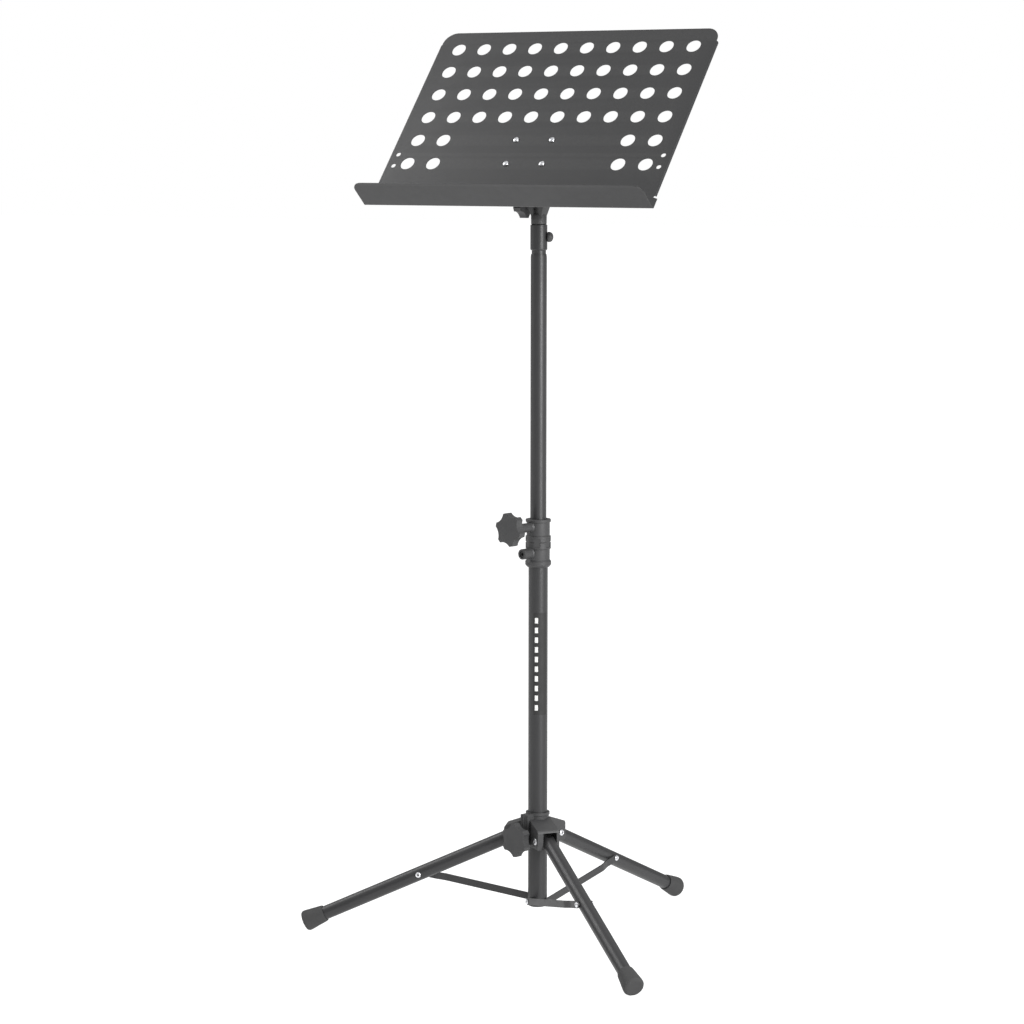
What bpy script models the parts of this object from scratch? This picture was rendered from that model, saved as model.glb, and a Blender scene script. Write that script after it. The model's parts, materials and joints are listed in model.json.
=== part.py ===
"""Music stand: perforated tilting desk, telescopic column and a folding tripod.

Every size is in millimetres and is turned into metres where a mesh is made. Heights are measured
from the floor before the whole stand is set down on its rubber feet.
"""
import math

import bmesh
import bpy
from mathutils import Matrix, Vector

MM = 0.001
WELD = 0.00001
GAP = 0.3

# Column
TUBE_LOWER_R = 15.0
TUBE_LOWER_BORE_R = 13.8
TUBE_LOWER_BOTTOM = 54.5
TUBE_LOWER_TOP = 640.0
TUBE_UPPER_R = 12.5
TUBE_UPPER_BORE_R = 11.3
TUBE_UPPER_BOTTOM = 545.0
TUBE_UPPER_TOP = 1071.0
TUBE_UPPER_TAPER = 5.0
PLUG_BOTTOM = 51.5

# Height collar at the top of the lower tube
COLLAR_TOP = 662.5
COLLAR_BODY_R = 18.0
COLLAR_FLANGE_R = 19.6
COLLAR_FOOT_R = 20.1
COLLAR_RING_TOP = 636.0
COLLAR_RING_GROOVE = 627.0
COLLAR_RING_BOTTOM = 616.5
COLLAR_FOOT_TOP = 596.5
COLLAR_BOTTOM = 588.0
CLAMP_AZIMUTH = 256.0
HEIGHT_KNOB_Z = 650.5
HEIGHT_KNOB_R = 62.2
HEIGHT_BOSS_END = 34.0
HEIGHT_KNOB_PHASE = 45.0
COLLAR_SCREW_Z = 610.0
COLLAR_SCREW_BOSS_END = 36.5
COLLAR_SCREW_BOSS_R = 8.2
COLLAR_SCREW_BORE_R = 5.3
COLLAR_SCREW_SEAT = 30.0

# Star knobs
KNOB_R = 26.0
KNOB_VALLEY_R = 20.8
KNOB_SCALLOP_R = 17.5
KNOB_LOBES = 6
KNOB_THICK = 13.0
KNOB_STEM_R = 7.2
STUD_R = 3.7

# Socket on top of the upper tube
SOCKET_R = 13.1
SOCKET_TOP = 1116.0
SOCKET_BOTTOM = 1077.0
SOCKET_SPIGOT_R = 11.0
SOCKET_SPIGOT_BOTTOM = 1046.0
SOCKET_BORE_R = 10.5
SOCKET_BORE_BOTTOM = 1082.0
THUMBSCREW_Z = 1097.0
THUMBSCREW_AZIMUTH = 25.0

# Desk head, its pivot and bolt
STEM_R = 10.2
STEM_BOTTOM = 1084.0
NECK_R = 12.0
NECK_TOP = 1129.0
FORK_ROOT_HALF_WIDTH = 9.0
FORK_ROOT_HALF_DEPTH = 8.6
FORK_ROOT = 1121.0
FORK_SHOULDER = 1143.7
FORK_HALF_WIDTH = 13.5
FORK_HALF_DEPTH = 11.2
FORK_SLOT_HALF = 5.0
FORK_FLOOR = 1131.5
PIVOT_Z = 1151.6
TILT_KNOB_REACH = 4.5
TILT_KNOB_PHASE = 49.0
EAR_OUTER_X = 4.7
EAR_THICK = 2.0
EAR_R = 14.0
TILT_BOLT_R = 3.7
WASHER_THICK = 1.2

# Desk
DESK_TILT = 40.8
SHEET = 1.2
PIVOT_TO_SHEET = 72.3
PIVOT_TO_GRID = 130.4
PITCH_X = 46.3
PITCH_Z = 47.0
HOLE_R = 11.8
COLUMNS = 10
ROWS = 6
OPEN_ROWS = 4
SMALL_HOLE_R = 4.0
SMALL_HOLE_X = 232.3
SMALL_HOLE_V = (-99.5, -122.2)
DESK_HALF_WIDTH = 245.7
DESK_TOP_V = 153.0
DESK_BEND_V = -202.0
DESK_CORNER_R = 22.0
SIDE_FLANGE = 3.5
FLANGE_BOTTOM_V = -178.0
FLANGE_TOP_V = 128.0
SHELF_HALF_WIDTH = 251.0
SHELF_DEPTH = 53.0
SHELF_CORNER_R = 16.5
BEND_R = 3.0
SIDE_BEND_R = 2.0
SCREW_X = 31.5
SCREW_V = (-70.0, -117.5)
BRACKET_HALF_WIDTH = 40.0
BRACKET_THICK = 2.0
BRACKET_MARGIN = 9.3
BRACKET_CORNER_R = 6.0
BRACKET_HOLE_R = 2.6

# Leg hub
HUB_BORE_R = 15.3
HUB_RING_R = 18.7
HUB_TOP = 202.0
HUB_BOTTOM = 151.0
HUB_CORE_R = 19.5
LUG_HALF_WIDTH = 15.5
LUG_PAD = {"left": 0.0, "front": 4.8, "right": 0.0}
LUG_SLOT_HALF = 11.3
LUG_OUTER_R = 51.0
LUG_TOP_INNER = 191.5
LUG_TOP_OUTER = 182.5
LUG_CORNER_R = 6.0
SLOT_TOP = 177.0
SLOT_INNER_R = 24.5
HUB_BOSS_R = 30.0
HUB_SLIT_X = (0.6, 2.2)
HUB_BOSS_HALF = 7.5
HUB_BOSS_TOP = 201.0
HUB_KNOB_R = 48.5
HUB_KNOB_Z = 163.5
HUB_KNOB_PHASE = 35.0
LEG_PIVOT_R = 40.8
LEG_PIVOT_Z = 163.0
RIVET_R = 2.5

# Legs, feet and braces
LEG_AZIMUTHS = {"left": 202.0, "front": 322.3, "right": 81.6}
LEG_ANGLE = 24.45
LEG_LENGTH = 364.6
LEG_R = 10.9
LEG_WALL = 1.2
LEG_OVERHANG = 6.0
CAP_LENGTH = 36.0
CAP_R = 16.4
FOOT_FLAT_Z = -0.8
LEG_NOTCH = ((-12.0, 2.8), (9.5, 11.6), (9.5, 14.0), (-12.0, 14.0))
BRACE_ON_LEG = 161.9
BRACE_PIVOT_Z = 59.0
BRACE_RUN = LEG_PIVOT_R + BRACE_ON_LEG * math.cos(math.radians(LEG_ANGLE))
BRACE_RISE = LEG_PIVOT_Z - BRACE_ON_LEG * math.sin(math.radians(LEG_ANGLE)) - BRACE_PIVOT_Z
BRACE_ANGLE = math.degrees(math.atan2(BRACE_RISE, BRACE_RUN))
BRACE_LENGTH = math.hypot(BRACE_RUN, BRACE_RISE)
BRACE_HALF_WIDTH = 5.5
BRACE_THICK = 2.0
BRACE_Y_COLUMN = 16.5
BRACE_Y_LEG = 12.5
JOGGLE_START = 148.0
JOGGLE_END = 170.0
BRACE_HOLE_R = 2.4

COARSE = 10
ROUND = 16
FINE = 20
HOLE_SIDES = 12

FINISHES = {
    "powder_coat": ((0.078, 0.078, 0.080), 0.42, 0.0),
    "moulding": ((0.070, 0.070, 0.072), 0.55, 0.0),
    "rubber": ((0.060, 0.060, 0.062), 0.80, 0.0),
    "zinc": ((0.72, 0.72, 0.74), 0.30, 1.0),
}


# ---------------------------------------------------------------- scene and small helpers
def clear_scene():
    for obj in list(bpy.data.objects):
        bpy.data.objects.remove(obj, do_unlink=True)


def new_collection(name):
    collection = bpy.data.collections.new(name)
    bpy.context.scene.collection.children.link(collection)
    return collection


def make_finish(name):
    colour, roughness, metallic = FINISHES[name]
    material = bpy.data.materials.new(name)
    material.use_nodes = True
    shader = material.node_tree.nodes["Principled BSDF"]
    shader.inputs["Base Color"].default_value = (*colour, 1.0)
    shader.inputs["Roughness"].default_value = roughness
    shader.inputs["Metallic"].default_value = metallic
    material.diffuse_color = (*colour, 1.0)
    return material


clear_scene()
STAND = new_collection("music_stand")
CUTTERS = new_collection("cutters")
MATERIALS = {name: make_finish(name) for name in FINISHES}


def add_object(name, data, parent, finish):
    """Link a finished mesh as a named piece of the stand."""
    obj = bpy.data.objects.new(name, data)
    obj.parent = parent
    data.materials.append(MATERIALS[finish])
    STAND.objects.link(obj)
    return obj


def add_tool(data, parent):
    """Link a mesh that only serves Boolean modifiers."""
    obj = bpy.data.objects.new("tool", data)
    obj.parent = parent
    obj.hide_render = True
    obj.display_type = "WIRE"
    CUTTERS.objects.link(obj)
    return obj


def add_empty(name, parent, location=(0.0, 0.0, 0.0), rotation=(0.0, 0.0, 0.0)):
    """Location in millimetres, rotation in degrees."""
    empty = bpy.data.objects.new(name, None)
    empty.empty_display_size = 0.03
    empty.parent = parent
    empty.location = Vector(location) * MM
    empty.rotation_euler = [math.radians(angle) for angle in rotation]
    STAND.objects.link(empty)
    return empty


def boolean(target, tool, operation):
    modifier = target.modifiers.new(operation.lower(), "BOOLEAN")
    modifier.operation = operation
    modifier.solver = "EXACT"
    modifier.object = tool


def to_mesh(bm, name):
    mesh = bpy.data.meshes.new(name)
    bm.to_mesh(mesh)
    bm.free()
    mesh.shade_smooth()
    mesh.set_sharp_from_angle(angle=math.radians(35.0))
    return mesh


def arc(radius, start, end, steps, centre=(0.0, 0.0)):
    """Points of an arc, angles in degrees, both ends included."""
    points = []
    for step in range(steps + 1):
        angle = math.radians(start + (end - start) * step / steps)
        points.append((centre[0] + radius * math.cos(angle), centre[1] + radius * math.sin(angle)))
    return points


def circle(radius, count, centre=(0.0, 0.0)):
    return arc(radius, 0.0, 360.0 * (count - 1) / count, count - 1, centre)


def axis_matrix(origin, direction):
    """Places local +Z along a direction, with the origin in millimetres."""
    turn = Vector(direction).to_track_quat("Z", "Y").to_matrix().to_4x4()
    return Matrix.Translation(Vector(origin) * MM) @ turn


# ---------------------------------------------------------------- shapes
def turned_mesh(name, profile, steps, matrix=Matrix()):
    """Spin (radius, height) points about Z.

    The points run down the outer side, and back up the bore of a hollow piece. A solid piece
    starts and ends on the axis.
    """
    hollow = profile[0][0] > 0.0
    bm = bmesh.new()
    verts = [bm.verts.new((radius * MM, 0.0, height * MM)) for radius, height in profile]
    pairs = list(zip(verts, verts[1:]))
    if hollow:
        pairs.append((verts[-1], verts[0]))
    for first, second in pairs:
        bm.edges.new((first, second))
    source = bpy.data.objects.new("profile", to_mesh(bm, name))
    bpy.context.scene.collection.objects.link(source)
    screw = source.modifiers.new("screw", "SCREW")
    screw.steps = steps
    screw.render_steps = steps
    screw.use_merge_vertices = True
    screw.merge_threshold = WELD
    mesh = evaluated_mesh(source)
    mesh.transform(matrix)
    return mesh


def evaluated_mesh(source):
    """Turn an object into a welded mesh and remove the object."""
    bpy.context.view_layer.update()
    graph = bpy.context.evaluated_depsgraph_get()
    mesh = bpy.data.meshes.new_from_object(source.evaluated_get(graph))
    bpy.data.objects.remove(source, do_unlink=True)
    mesh.materials.clear()
    bm = bmesh.new()
    bm.from_mesh(mesh)
    bmesh.ops.remove_doubles(bm, verts=bm.verts, dist=WELD)
    bm.to_mesh(mesh)
    bm.free()
    return mesh


def outline_object(outlines, half_thickness):
    """A flat filled curve in XY; the outlines after the first are holes."""
    curve = bpy.data.curves.new("outline", "CURVE")
    curve.dimensions = "2D"
    curve.fill_mode = "BOTH"
    curve.extrude = half_thickness * MM
    for outline in outlines:
        spline = curve.splines.new("POLY")
        spline.points.add(len(outline) - 1)
        for point, (u, v) in zip(spline.points, outline):
            point.co = (u * MM, v * MM, 0.0, 1.0)
        spline.use_cyclic_u = True
    source = bpy.data.objects.new("outline", curve)
    bpy.context.scene.collection.objects.link(source)
    return source


PLANES = {
    "XY": Matrix(),
    "XZ": Matrix(((1, 0, 0, 0), (0, 0, -1, 0), (0, 1, 0, 0), (0, 0, 0, 1))),
    "YZ": Matrix(((0, 0, 1, 0), (1, 0, 0, 0), (0, 1, 0, 0), (0, 0, 0, 1))),
}


def slab_mesh(outlines, low, high, plane):
    """Extrude outlines drawn in a plane between two levels along that plane's normal."""
    half = (high - low) / 2.0
    mesh = evaluated_mesh(outline_object(outlines, half))
    level = (high + low) / 2.0
    if plane == "XZ":
        level = -level
    mesh.transform(PLANES[plane] @ Matrix.Translation((0.0, 0.0, level * MM)))
    return mesh


def rod_mesh(radius, start, end, sides):
    start, end = Vector(start), Vector(end)
    bm = bmesh.new()
    bmesh.ops.create_cone(
        bm, cap_ends=True, segments=sides, radius1=radius * MM, radius2=radius * MM,
        depth=(end - start).length * MM,
    )
    bm.transform(axis_matrix((start + end) / 2.0, end - start))
    return to_mesh(bm, "rod")


def box_mesh(low, high):
    low, high = Vector(low), Vector(high)
    size = (high - low) * MM
    bm = bmesh.new()
    bmesh.ops.create_cube(bm, size=1.0)
    bm.transform(Matrix.Translation((low + high) * MM / 2.0) @ Matrix.Diagonal((*size, 1.0)))
    return to_mesh(bm, "box")


def drill(target, parent, radius, start, end, sides=COARSE):
    boolean(target, add_tool(rod_mesh(radius, start, end, sides), parent), "DIFFERENCE")


def join(target, parent, mesh):
    boolean(target, add_tool(mesh, parent), "UNION")


def cut(target, parent, mesh):
    boolean(target, add_tool(mesh, parent), "DIFFERENCE")


# ---------------------------------------------------------------- knobs, rivets and screws
def star_outline():
    """A disc with a round scallop between each two lobes."""
    centre_r = KNOB_VALLEY_R + KNOB_SCALLOP_R
    cosine = (KNOB_R**2 + centre_r**2 - KNOB_SCALLOP_R**2) / (2.0 * KNOB_R * centre_r)
    reach = math.degrees(math.acos(cosine))
    rim = (KNOB_R * math.cos(math.radians(reach)), KNOB_R * math.sin(math.radians(reach)))
    swing = math.degrees(math.atan2(rim[1], centre_r - rim[0]))
    sector = 360.0 / KNOB_LOBES
    outline = []
    for lobe in range(KNOB_LOBES):
        middle = lobe * sector
        turn = math.radians(middle)
        centre = (centre_r * math.cos(turn), centre_r * math.sin(turn))
        outline += arc(KNOB_SCALLOP_R, middle + 180.0 + swing, middle + 180.0 - swing, 4, centre)
        outline += arc(KNOB_R, middle + reach, middle + sector - reach, 2)[1:-1]
    return outline


def star_knob(name, parent, face_near, stem_start, phase):
    """A six-lobed knob on local +Z: stem from stem_start, star from face_near outward."""
    turn = Matrix.Rotation(math.radians(phase), 4, "Z")
    mesh = slab_mesh([star_outline()], face_near, face_near + KNOB_THICK, "XY")
    mesh.transform(turn)
    knob = add_object(name, mesh, parent, "moulding")
    stem = rod_mesh(KNOB_STEM_R, (0, 0, stem_start), (0, 0, face_near + 1.0), ROUND)
    join(knob, parent, stem)
    drill(knob, parent, STUD_R + GAP, (0, 0, stem_start - 1.0), (0, 0, face_near + 6.0 + GAP))
    return knob


def stud(name, parent, start, face_near):
    """The steel stud moulded into a knob, pointing back along local -Z."""
    profile = [
        (0.0, face_near + 6.0),
        (STUD_R - 0.5, face_near + 6.0),
        (STUD_R, face_near + 5.5),
        (STUD_R, start + 0.8),
        (STUD_R - 0.8, start),
        (0.0, start),
    ]
    return add_object(name, turned_mesh(name, profile, COARSE), parent, "zinc")


def domed_rivet(name, parent, origin, direction, shank, length, head, tail=None):
    """Head outside the origin, shank running back against the direction.

    head and tail are (radius, height) pairs.
    """
    head_r, head_h = head
    profile = [(0.0, head_h), (head_r * 0.5, head_h * 0.93), (head_r * 0.85, head_h * 0.55)]
    profile += [(head_r, 0.0), (shank, 0.0)]
    if tail:
        tail_r, tail_h = tail
        profile += [(shank, -length), (tail_r, -length), (tail_r * 0.85, -length - tail_h * 0.55)]
        profile += [(tail_r * 0.5, -length - tail_h * 0.93), (0.0, -length - tail_h)]
    else:
        profile += [(shank, -length), (0.0, -length)]
    mesh = turned_mesh(name, profile, COARSE, axis_matrix(origin, direction))
    return add_object(name, mesh, parent, "zinc")


# ---------------------------------------------------------------- column
def build_lower_tube(column):
    profile = [
        (TUBE_LOWER_BORE_R, TUBE_LOWER_TOP),
        (TUBE_LOWER_R, TUBE_LOWER_TOP),
        (TUBE_LOWER_R, TUBE_LOWER_BOTTOM),
        (TUBE_LOWER_BORE_R, TUBE_LOWER_BOTTOM),
    ]
    tube = add_object("lower_tube", turned_mesh("lower_tube", profile, FINE), column, "powder_coat")
    for azimuth in LEG_AZIMUTHS.values():
        side = Matrix.Rotation(math.radians(azimuth - 90.0), 3, "Z") @ Vector((1.0, 0.0, 0.0))
        inner = side * 10.0
        outer = side * (TUBE_LOWER_R + 2.0)
        inner.z = outer.z = BRACE_PIVOT_Z
        drill(tube, column, BRACE_HOLE_R, inner, outer)


def build_end_plug(column):
    top = TUBE_LOWER_BOTTOM + 1.5
    rim = TUBE_LOWER_BOTTOM - GAP
    profile = [
        (0.0, top),
        (TUBE_LOWER_BORE_R - GAP, top),
        (TUBE_LOWER_BORE_R - GAP, rim),
        (TUBE_LOWER_R, rim),
        (TUBE_LOWER_R - 0.6, PLUG_BOTTOM + 0.9),
        (TUBE_LOWER_R - 2.4, PLUG_BOTTOM),
        (0.0, PLUG_BOTTOM),
    ]
    mesh = turned_mesh("column_end_plug", profile, FINE)
    add_object("column_end_plug", mesh, column, "moulding")


def build_height_collar(column, clamp):
    """Two-part clamp collar with a boss for the knob and one for the retaining screw."""
    shoulder = TUBE_LOWER_TOP + GAP
    profile = [
        (COLLAR_FLANGE_R - 0.8, COLLAR_TOP),
        (COLLAR_FLANGE_R, COLLAR_TOP - 0.8),
        (COLLAR_FLANGE_R, COLLAR_TOP - 4.2),
        (COLLAR_BODY_R, COLLAR_TOP - 5.2),
        (COLLAR_BODY_R, COLLAR_RING_TOP + 0.8),
        (COLLAR_FLANGE_R, COLLAR_RING_TOP),
        (COLLAR_FLANGE_R, COLLAR_RING_GROOVE + 1.2),
        (COLLAR_BODY_R, COLLAR_RING_GROOVE + 0.6),
        (COLLAR_BODY_R, COLLAR_RING_GROOVE - 0.6),
        (COLLAR_FLANGE_R, COLLAR_RING_GROOVE - 1.2),
        (COLLAR_FLANGE_R, COLLAR_RING_BOTTOM),
        (COLLAR_BODY_R, COLLAR_RING_BOTTOM - 0.8),
        (COLLAR_BODY_R, COLLAR_FOOT_TOP + 2.0),
        (COLLAR_FOOT_R, COLLAR_FOOT_TOP),
        (COLLAR_FOOT_R, COLLAR_BOTTOM + 3.4),
        (COLLAR_FOOT_R - 2.6, COLLAR_BOTTOM),
        (TUBE_LOWER_R + GAP, COLLAR_BOTTOM),
        (TUBE_LOWER_R + GAP, shoulder),
        (TUBE_UPPER_R + 0.4, shoulder),
        (TUBE_UPPER_R + 0.4, COLLAR_TOP),
    ]
    mesh = turned_mesh("height_collar", profile, FINE)
    collar = add_object("height_collar", mesh, column, "moulding")
    lift = COLLAR_SCREW_Z - HEIGHT_KNOB_Z
    knob_boss = turned_mesh("boss", [
        (0.0, HEIGHT_BOSS_END),
        (KNOB_STEM_R - 0.8, HEIGHT_BOSS_END),
        (KNOB_STEM_R, HEIGHT_BOSS_END - 0.8),
        (KNOB_STEM_R, TUBE_LOWER_R + 0.5),
        (0.0, TUBE_LOWER_R + 0.5),
    ], ROUND)
    join(collar, clamp, knob_boss)
    screw_boss = turned_mesh("boss", [
        (0.0, COLLAR_SCREW_BOSS_END),
        (COLLAR_SCREW_BOSS_R - 1.2, COLLAR_SCREW_BOSS_END),
        (COLLAR_SCREW_BOSS_R, COLLAR_SCREW_BOSS_END - 1.2),
        (COLLAR_SCREW_BOSS_R, TUBE_LOWER_R + 0.9),
        (0.0, TUBE_LOWER_R + 0.9),
    ], ROUND, Matrix.Translation((-lift * MM, 0.0, 0.0)))
    join(collar, clamp, screw_boss)
    drill(collar, clamp, STUD_R + GAP, (0, 0, 10.0), (0, 0, HEIGHT_BOSS_END + 2.0))
    seat = COLLAR_SCREW_SEAT - GAP
    drill(collar, clamp, 3.3, (-lift, 0, 14.0), (-lift, 0, seat + 1.0))
    drill(collar, clamp, COLLAR_SCREW_BORE_R, (-lift, 0, seat), (-lift, 0, COLLAR_SCREW_BOSS_END + 2.0), ROUND)


def build_collar_screw(clamp):
    """Socket-head screw in the lower boss of the height collar."""
    offset = HEIGHT_KNOB_Z - COLLAR_SCREW_Z
    top = COLLAR_SCREW_SEAT + 5.2
    profile = [
        (0.0, top),
        (4.2, top),
        (4.8, top - 0.6),
        (4.8, COLLAR_SCREW_SEAT),
        (3.0, COLLAR_SCREW_SEAT),
        (3.0, TUBE_LOWER_R + 0.6),
        (0.0, TUBE_LOWER_R + 0.6),
    ]
    shift = Matrix.Translation((offset * MM, 0.0, 0.0))
    mesh = turned_mesh("collar_screw", profile, COARSE, shift)
    screw = add_object("collar_screw", mesh, clamp, "zinc")
    cut(screw, clamp, rod_mesh(2.4, (offset, 0, top - 3.2), (offset, 0, top + 2.0), 6))


# ---------------------------------------------------------------- mast
def build_mast(column):
    bush_r = TUBE_LOWER_BORE_R - GAP
    profile = [
        (TUBE_UPPER_R + GAP, TUBE_UPPER_BOTTOM + 34.0),
        (bush_r, TUBE_UPPER_BOTTOM + 34.0),
        (bush_r, TUBE_UPPER_BOTTOM - 4.0),
        (TUBE_UPPER_BORE_R - 1.0, TUBE_UPPER_BOTTOM - 4.0),
        (TUBE_UPPER_BORE_R - 1.0, TUBE_UPPER_BOTTOM - GAP),
        (TUBE_UPPER_R + GAP, TUBE_UPPER_BOTTOM - GAP),
    ]
    add_object("mast_bush", turned_mesh("mast_bush", profile, ROUND), column, "moulding")

    profile = [
        (TUBE_UPPER_BORE_R, TUBE_UPPER_TOP),
        (TUBE_UPPER_R - 0.6, TUBE_UPPER_TOP),
        (TUBE_UPPER_R, TUBE_UPPER_TOP - TUBE_UPPER_TAPER),
        (TUBE_UPPER_R, TUBE_UPPER_BOTTOM),
        (TUBE_UPPER_BORE_R, TUBE_UPPER_BOTTOM),
    ]
    add_object("upper_tube", turned_mesh("upper_tube", profile, ROUND), column, "powder_coat")

    profile = [
        (SOCKET_BORE_R, SOCKET_TOP),
        (SOCKET_R - 1.0, SOCKET_TOP),
        (SOCKET_R, SOCKET_TOP - 1.2),
        (SOCKET_R, SOCKET_BOTTOM + 1.2),
        (SOCKET_R - 1.2, SOCKET_BOTTOM),
        (SOCKET_SPIGOT_R, SOCKET_BOTTOM - 0.6),
        (SOCKET_SPIGOT_R, SOCKET_SPIGOT_BOTTOM),
        (6.0, SOCKET_SPIGOT_BOTTOM),
        (6.0, SOCKET_BORE_BOTTOM),
        (SOCKET_BORE_R, SOCKET_BORE_BOTTOM),
    ]
    socket = add_object("mast_socket", turned_mesh("mast_socket", profile, FINE), column, "powder_coat")
    side = azimuth_vector(THUMBSCREW_AZIMUTH)
    inner = side * 5.0
    outer = side * (SOCKET_R + 4.0)
    inner.z = outer.z = THUMBSCREW_Z
    drill(socket, column, 2.9, inner, outer)


def azimuth_vector(azimuth):
    angle = math.radians(azimuth)
    return Vector((math.cos(angle), math.sin(angle), 0.0))


def build_thumbscrew(axis):
    """Domed hand screw that grips the desk stem through the socket wall."""
    face = SOCKET_R + GAP
    profile = [
        (0.0, face + 9.0),
        (3.0, face + 8.6),
        (5.8, face + 6.8),
        (7.6, face + 4.0),
        (8.0, face + 1.0),
        (7.4, face),
        (2.6, face),
        (2.6, SOCKET_BORE_R + 0.1),
        (0.0, SOCKET_BORE_R + 0.1),
    ]
    mesh = turned_mesh("socket_thumbscrew", profile, ROUND)
    add_object("socket_thumbscrew", mesh, axis, "moulding")


# ---------------------------------------------------------------- desk head and desk
def build_desk_head(column, tilt):
    """Turned stem that flares into the fork for the tilt pivot."""
    fork_top = PIVOT_Z + FORK_HALF_DEPTH
    mesh = slab_mesh([[
        (-FORK_ROOT_HALF_WIDTH, FORK_ROOT),
        (FORK_ROOT_HALF_WIDTH, FORK_ROOT),
        (FORK_ROOT_HALF_WIDTH, NECK_TOP),
        (FORK_HALF_WIDTH, FORK_SHOULDER),
        (FORK_HALF_WIDTH, fork_top + 1.0),
        (-FORK_HALF_WIDTH, fork_top + 1.0),
        (-FORK_HALF_WIDTH, FORK_SHOULDER),
        (-FORK_ROOT_HALF_WIDTH, NECK_TOP),
    ]], -20.0, 20.0, "XZ")
    head = add_object("desk_head", mesh, column, "moulding")
    side = arc(FORK_HALF_DEPTH, 0.0, 180.0, 12, (0.0, PIVOT_Z)) + [
        (-FORK_HALF_DEPTH, FORK_SHOULDER),
        (-FORK_ROOT_HALF_DEPTH, NECK_TOP),
        (-FORK_ROOT_HALF_DEPTH, FORK_ROOT - 1.0),
        (FORK_ROOT_HALF_DEPTH, FORK_ROOT - 1.0),
        (FORK_ROOT_HALF_DEPTH, NECK_TOP),
        (FORK_HALF_DEPTH, FORK_SHOULDER),
    ]
    boolean(head, add_tool(slab_mesh([side], -30.0, 30.0, "YZ"), column), "INTERSECT")
    stem = turned_mesh("stem", [
        (0.0, NECK_TOP),
        (NECK_R - 1.2, NECK_TOP),
        (NECK_R, NECK_TOP - 1.2),
        (NECK_R, SOCKET_TOP + 1.3),
        (NECK_R - 1.0, SOCKET_TOP + GAP),
        (STEM_R, SOCKET_TOP + GAP),
        (STEM_R, STEM_BOTTOM + 2.0),
        (STEM_R - 2.0, STEM_BOTTOM),
        (0.0, STEM_BOTTOM),
    ], ROUND)
    join(head, column, stem)
    cut(head, column, box_mesh((-FORK_SLOT_HALF, -20.0, FORK_FLOOR), (FORK_SLOT_HALF, 20.0, fork_top + 2.0)))
    drill(head, tilt, TILT_BOLT_R + GAP, (-30.0, 0, 0), (30.0, 0, 0))


def build_tilt_bolt(tilt):
    """Hexagon-head bolt through the fork, with the washer under the knob."""
    head_in = FORK_HALF_WIDTH + GAP
    mesh = rod_mesh(6.6, (head_in, 0, 0), (head_in + 4.6, 0, 0), 6)
    bolt = add_object("tilt_bolt", mesh, tilt, "zinc")
    knob_end = -(FORK_HALF_WIDTH + WASHER_THICK + 2.0 * GAP + TILT_KNOB_REACH + 5.0)
    join(bolt, tilt, rod_mesh(TILT_BOLT_R, (knob_end, 0, 0), (head_in + 1.0, 0, 0), COARSE))

    near = FORK_HALF_WIDTH + GAP
    profile = [
        (TILT_BOLT_R + GAP, near + WASHER_THICK),
        (9.0, near + WASHER_THICK),
        (9.0, near),
        (TILT_BOLT_R + GAP, near),
    ]
    matrix = axis_matrix((0, 0, 0), (-1, 0, 0))
    mesh = turned_mesh("tilt_washer", profile, ROUND, matrix)
    add_object("tilt_washer", mesh, tilt, "zinc")

    half = EAR_OUTER_X - EAR_THICK - GAP
    profile = [
        (TILT_BOLT_R + GAP, half),
        (7.0, half),
        (7.0, -half),
        (TILT_BOLT_R + GAP, -half),
    ]
    mesh = turned_mesh("tilt_spacer", profile, COARSE, matrix)
    add_object("tilt_spacer", mesh, tilt, "zinc")


def fold_point(u, v, w):
    """Map a point of the flat blank to the folded sheet, in the desk's own frame.

    u runs to the right, v up the slope and w from the middle of the sheet towards the reader. The
    side strips fold back past DESK_HALF_WIDTH, and the shelf folds forward past DESK_BEND_V.
    """
    x, y, z = u, -PIVOT_TO_SHEET + SHEET / 2.0, v
    normal = Vector((0.0, -1.0, 0.0))
    side = math.copysign(1.0, u)
    over = abs(u) - (DESK_HALF_WIDTH - SIDE_BEND_R)
    under = DESK_BEND_V + BEND_R - v
    if under > 0.0:
        angle = min(under / BEND_R, math.pi / 2.0)
        straight = max(under - BEND_R * math.pi / 2.0, 0.0)
        z = DESK_BEND_V + BEND_R - BEND_R * math.sin(angle)
        y -= BEND_R * (1.0 - math.cos(angle)) + straight
        normal = Vector((0.0, -math.cos(angle), math.sin(angle)))
    elif over > 0.0 and v > FLANGE_BOTTOM_V - 1.0:
        angle = min(over / SIDE_BEND_R, math.pi / 2.0)
        straight = max(over - SIDE_BEND_R * math.pi / 2.0, 0.0)
        x = side * (DESK_HALF_WIDTH - SIDE_BEND_R + SIDE_BEND_R * math.sin(angle))
        y += SIDE_BEND_R * (1.0 - math.cos(angle)) + straight
        normal = Vector((side * math.sin(angle), -math.cos(angle), 0.0))
    return (Vector((x, y, z + PIVOT_TO_GRID)) + w * normal) * MM


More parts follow.
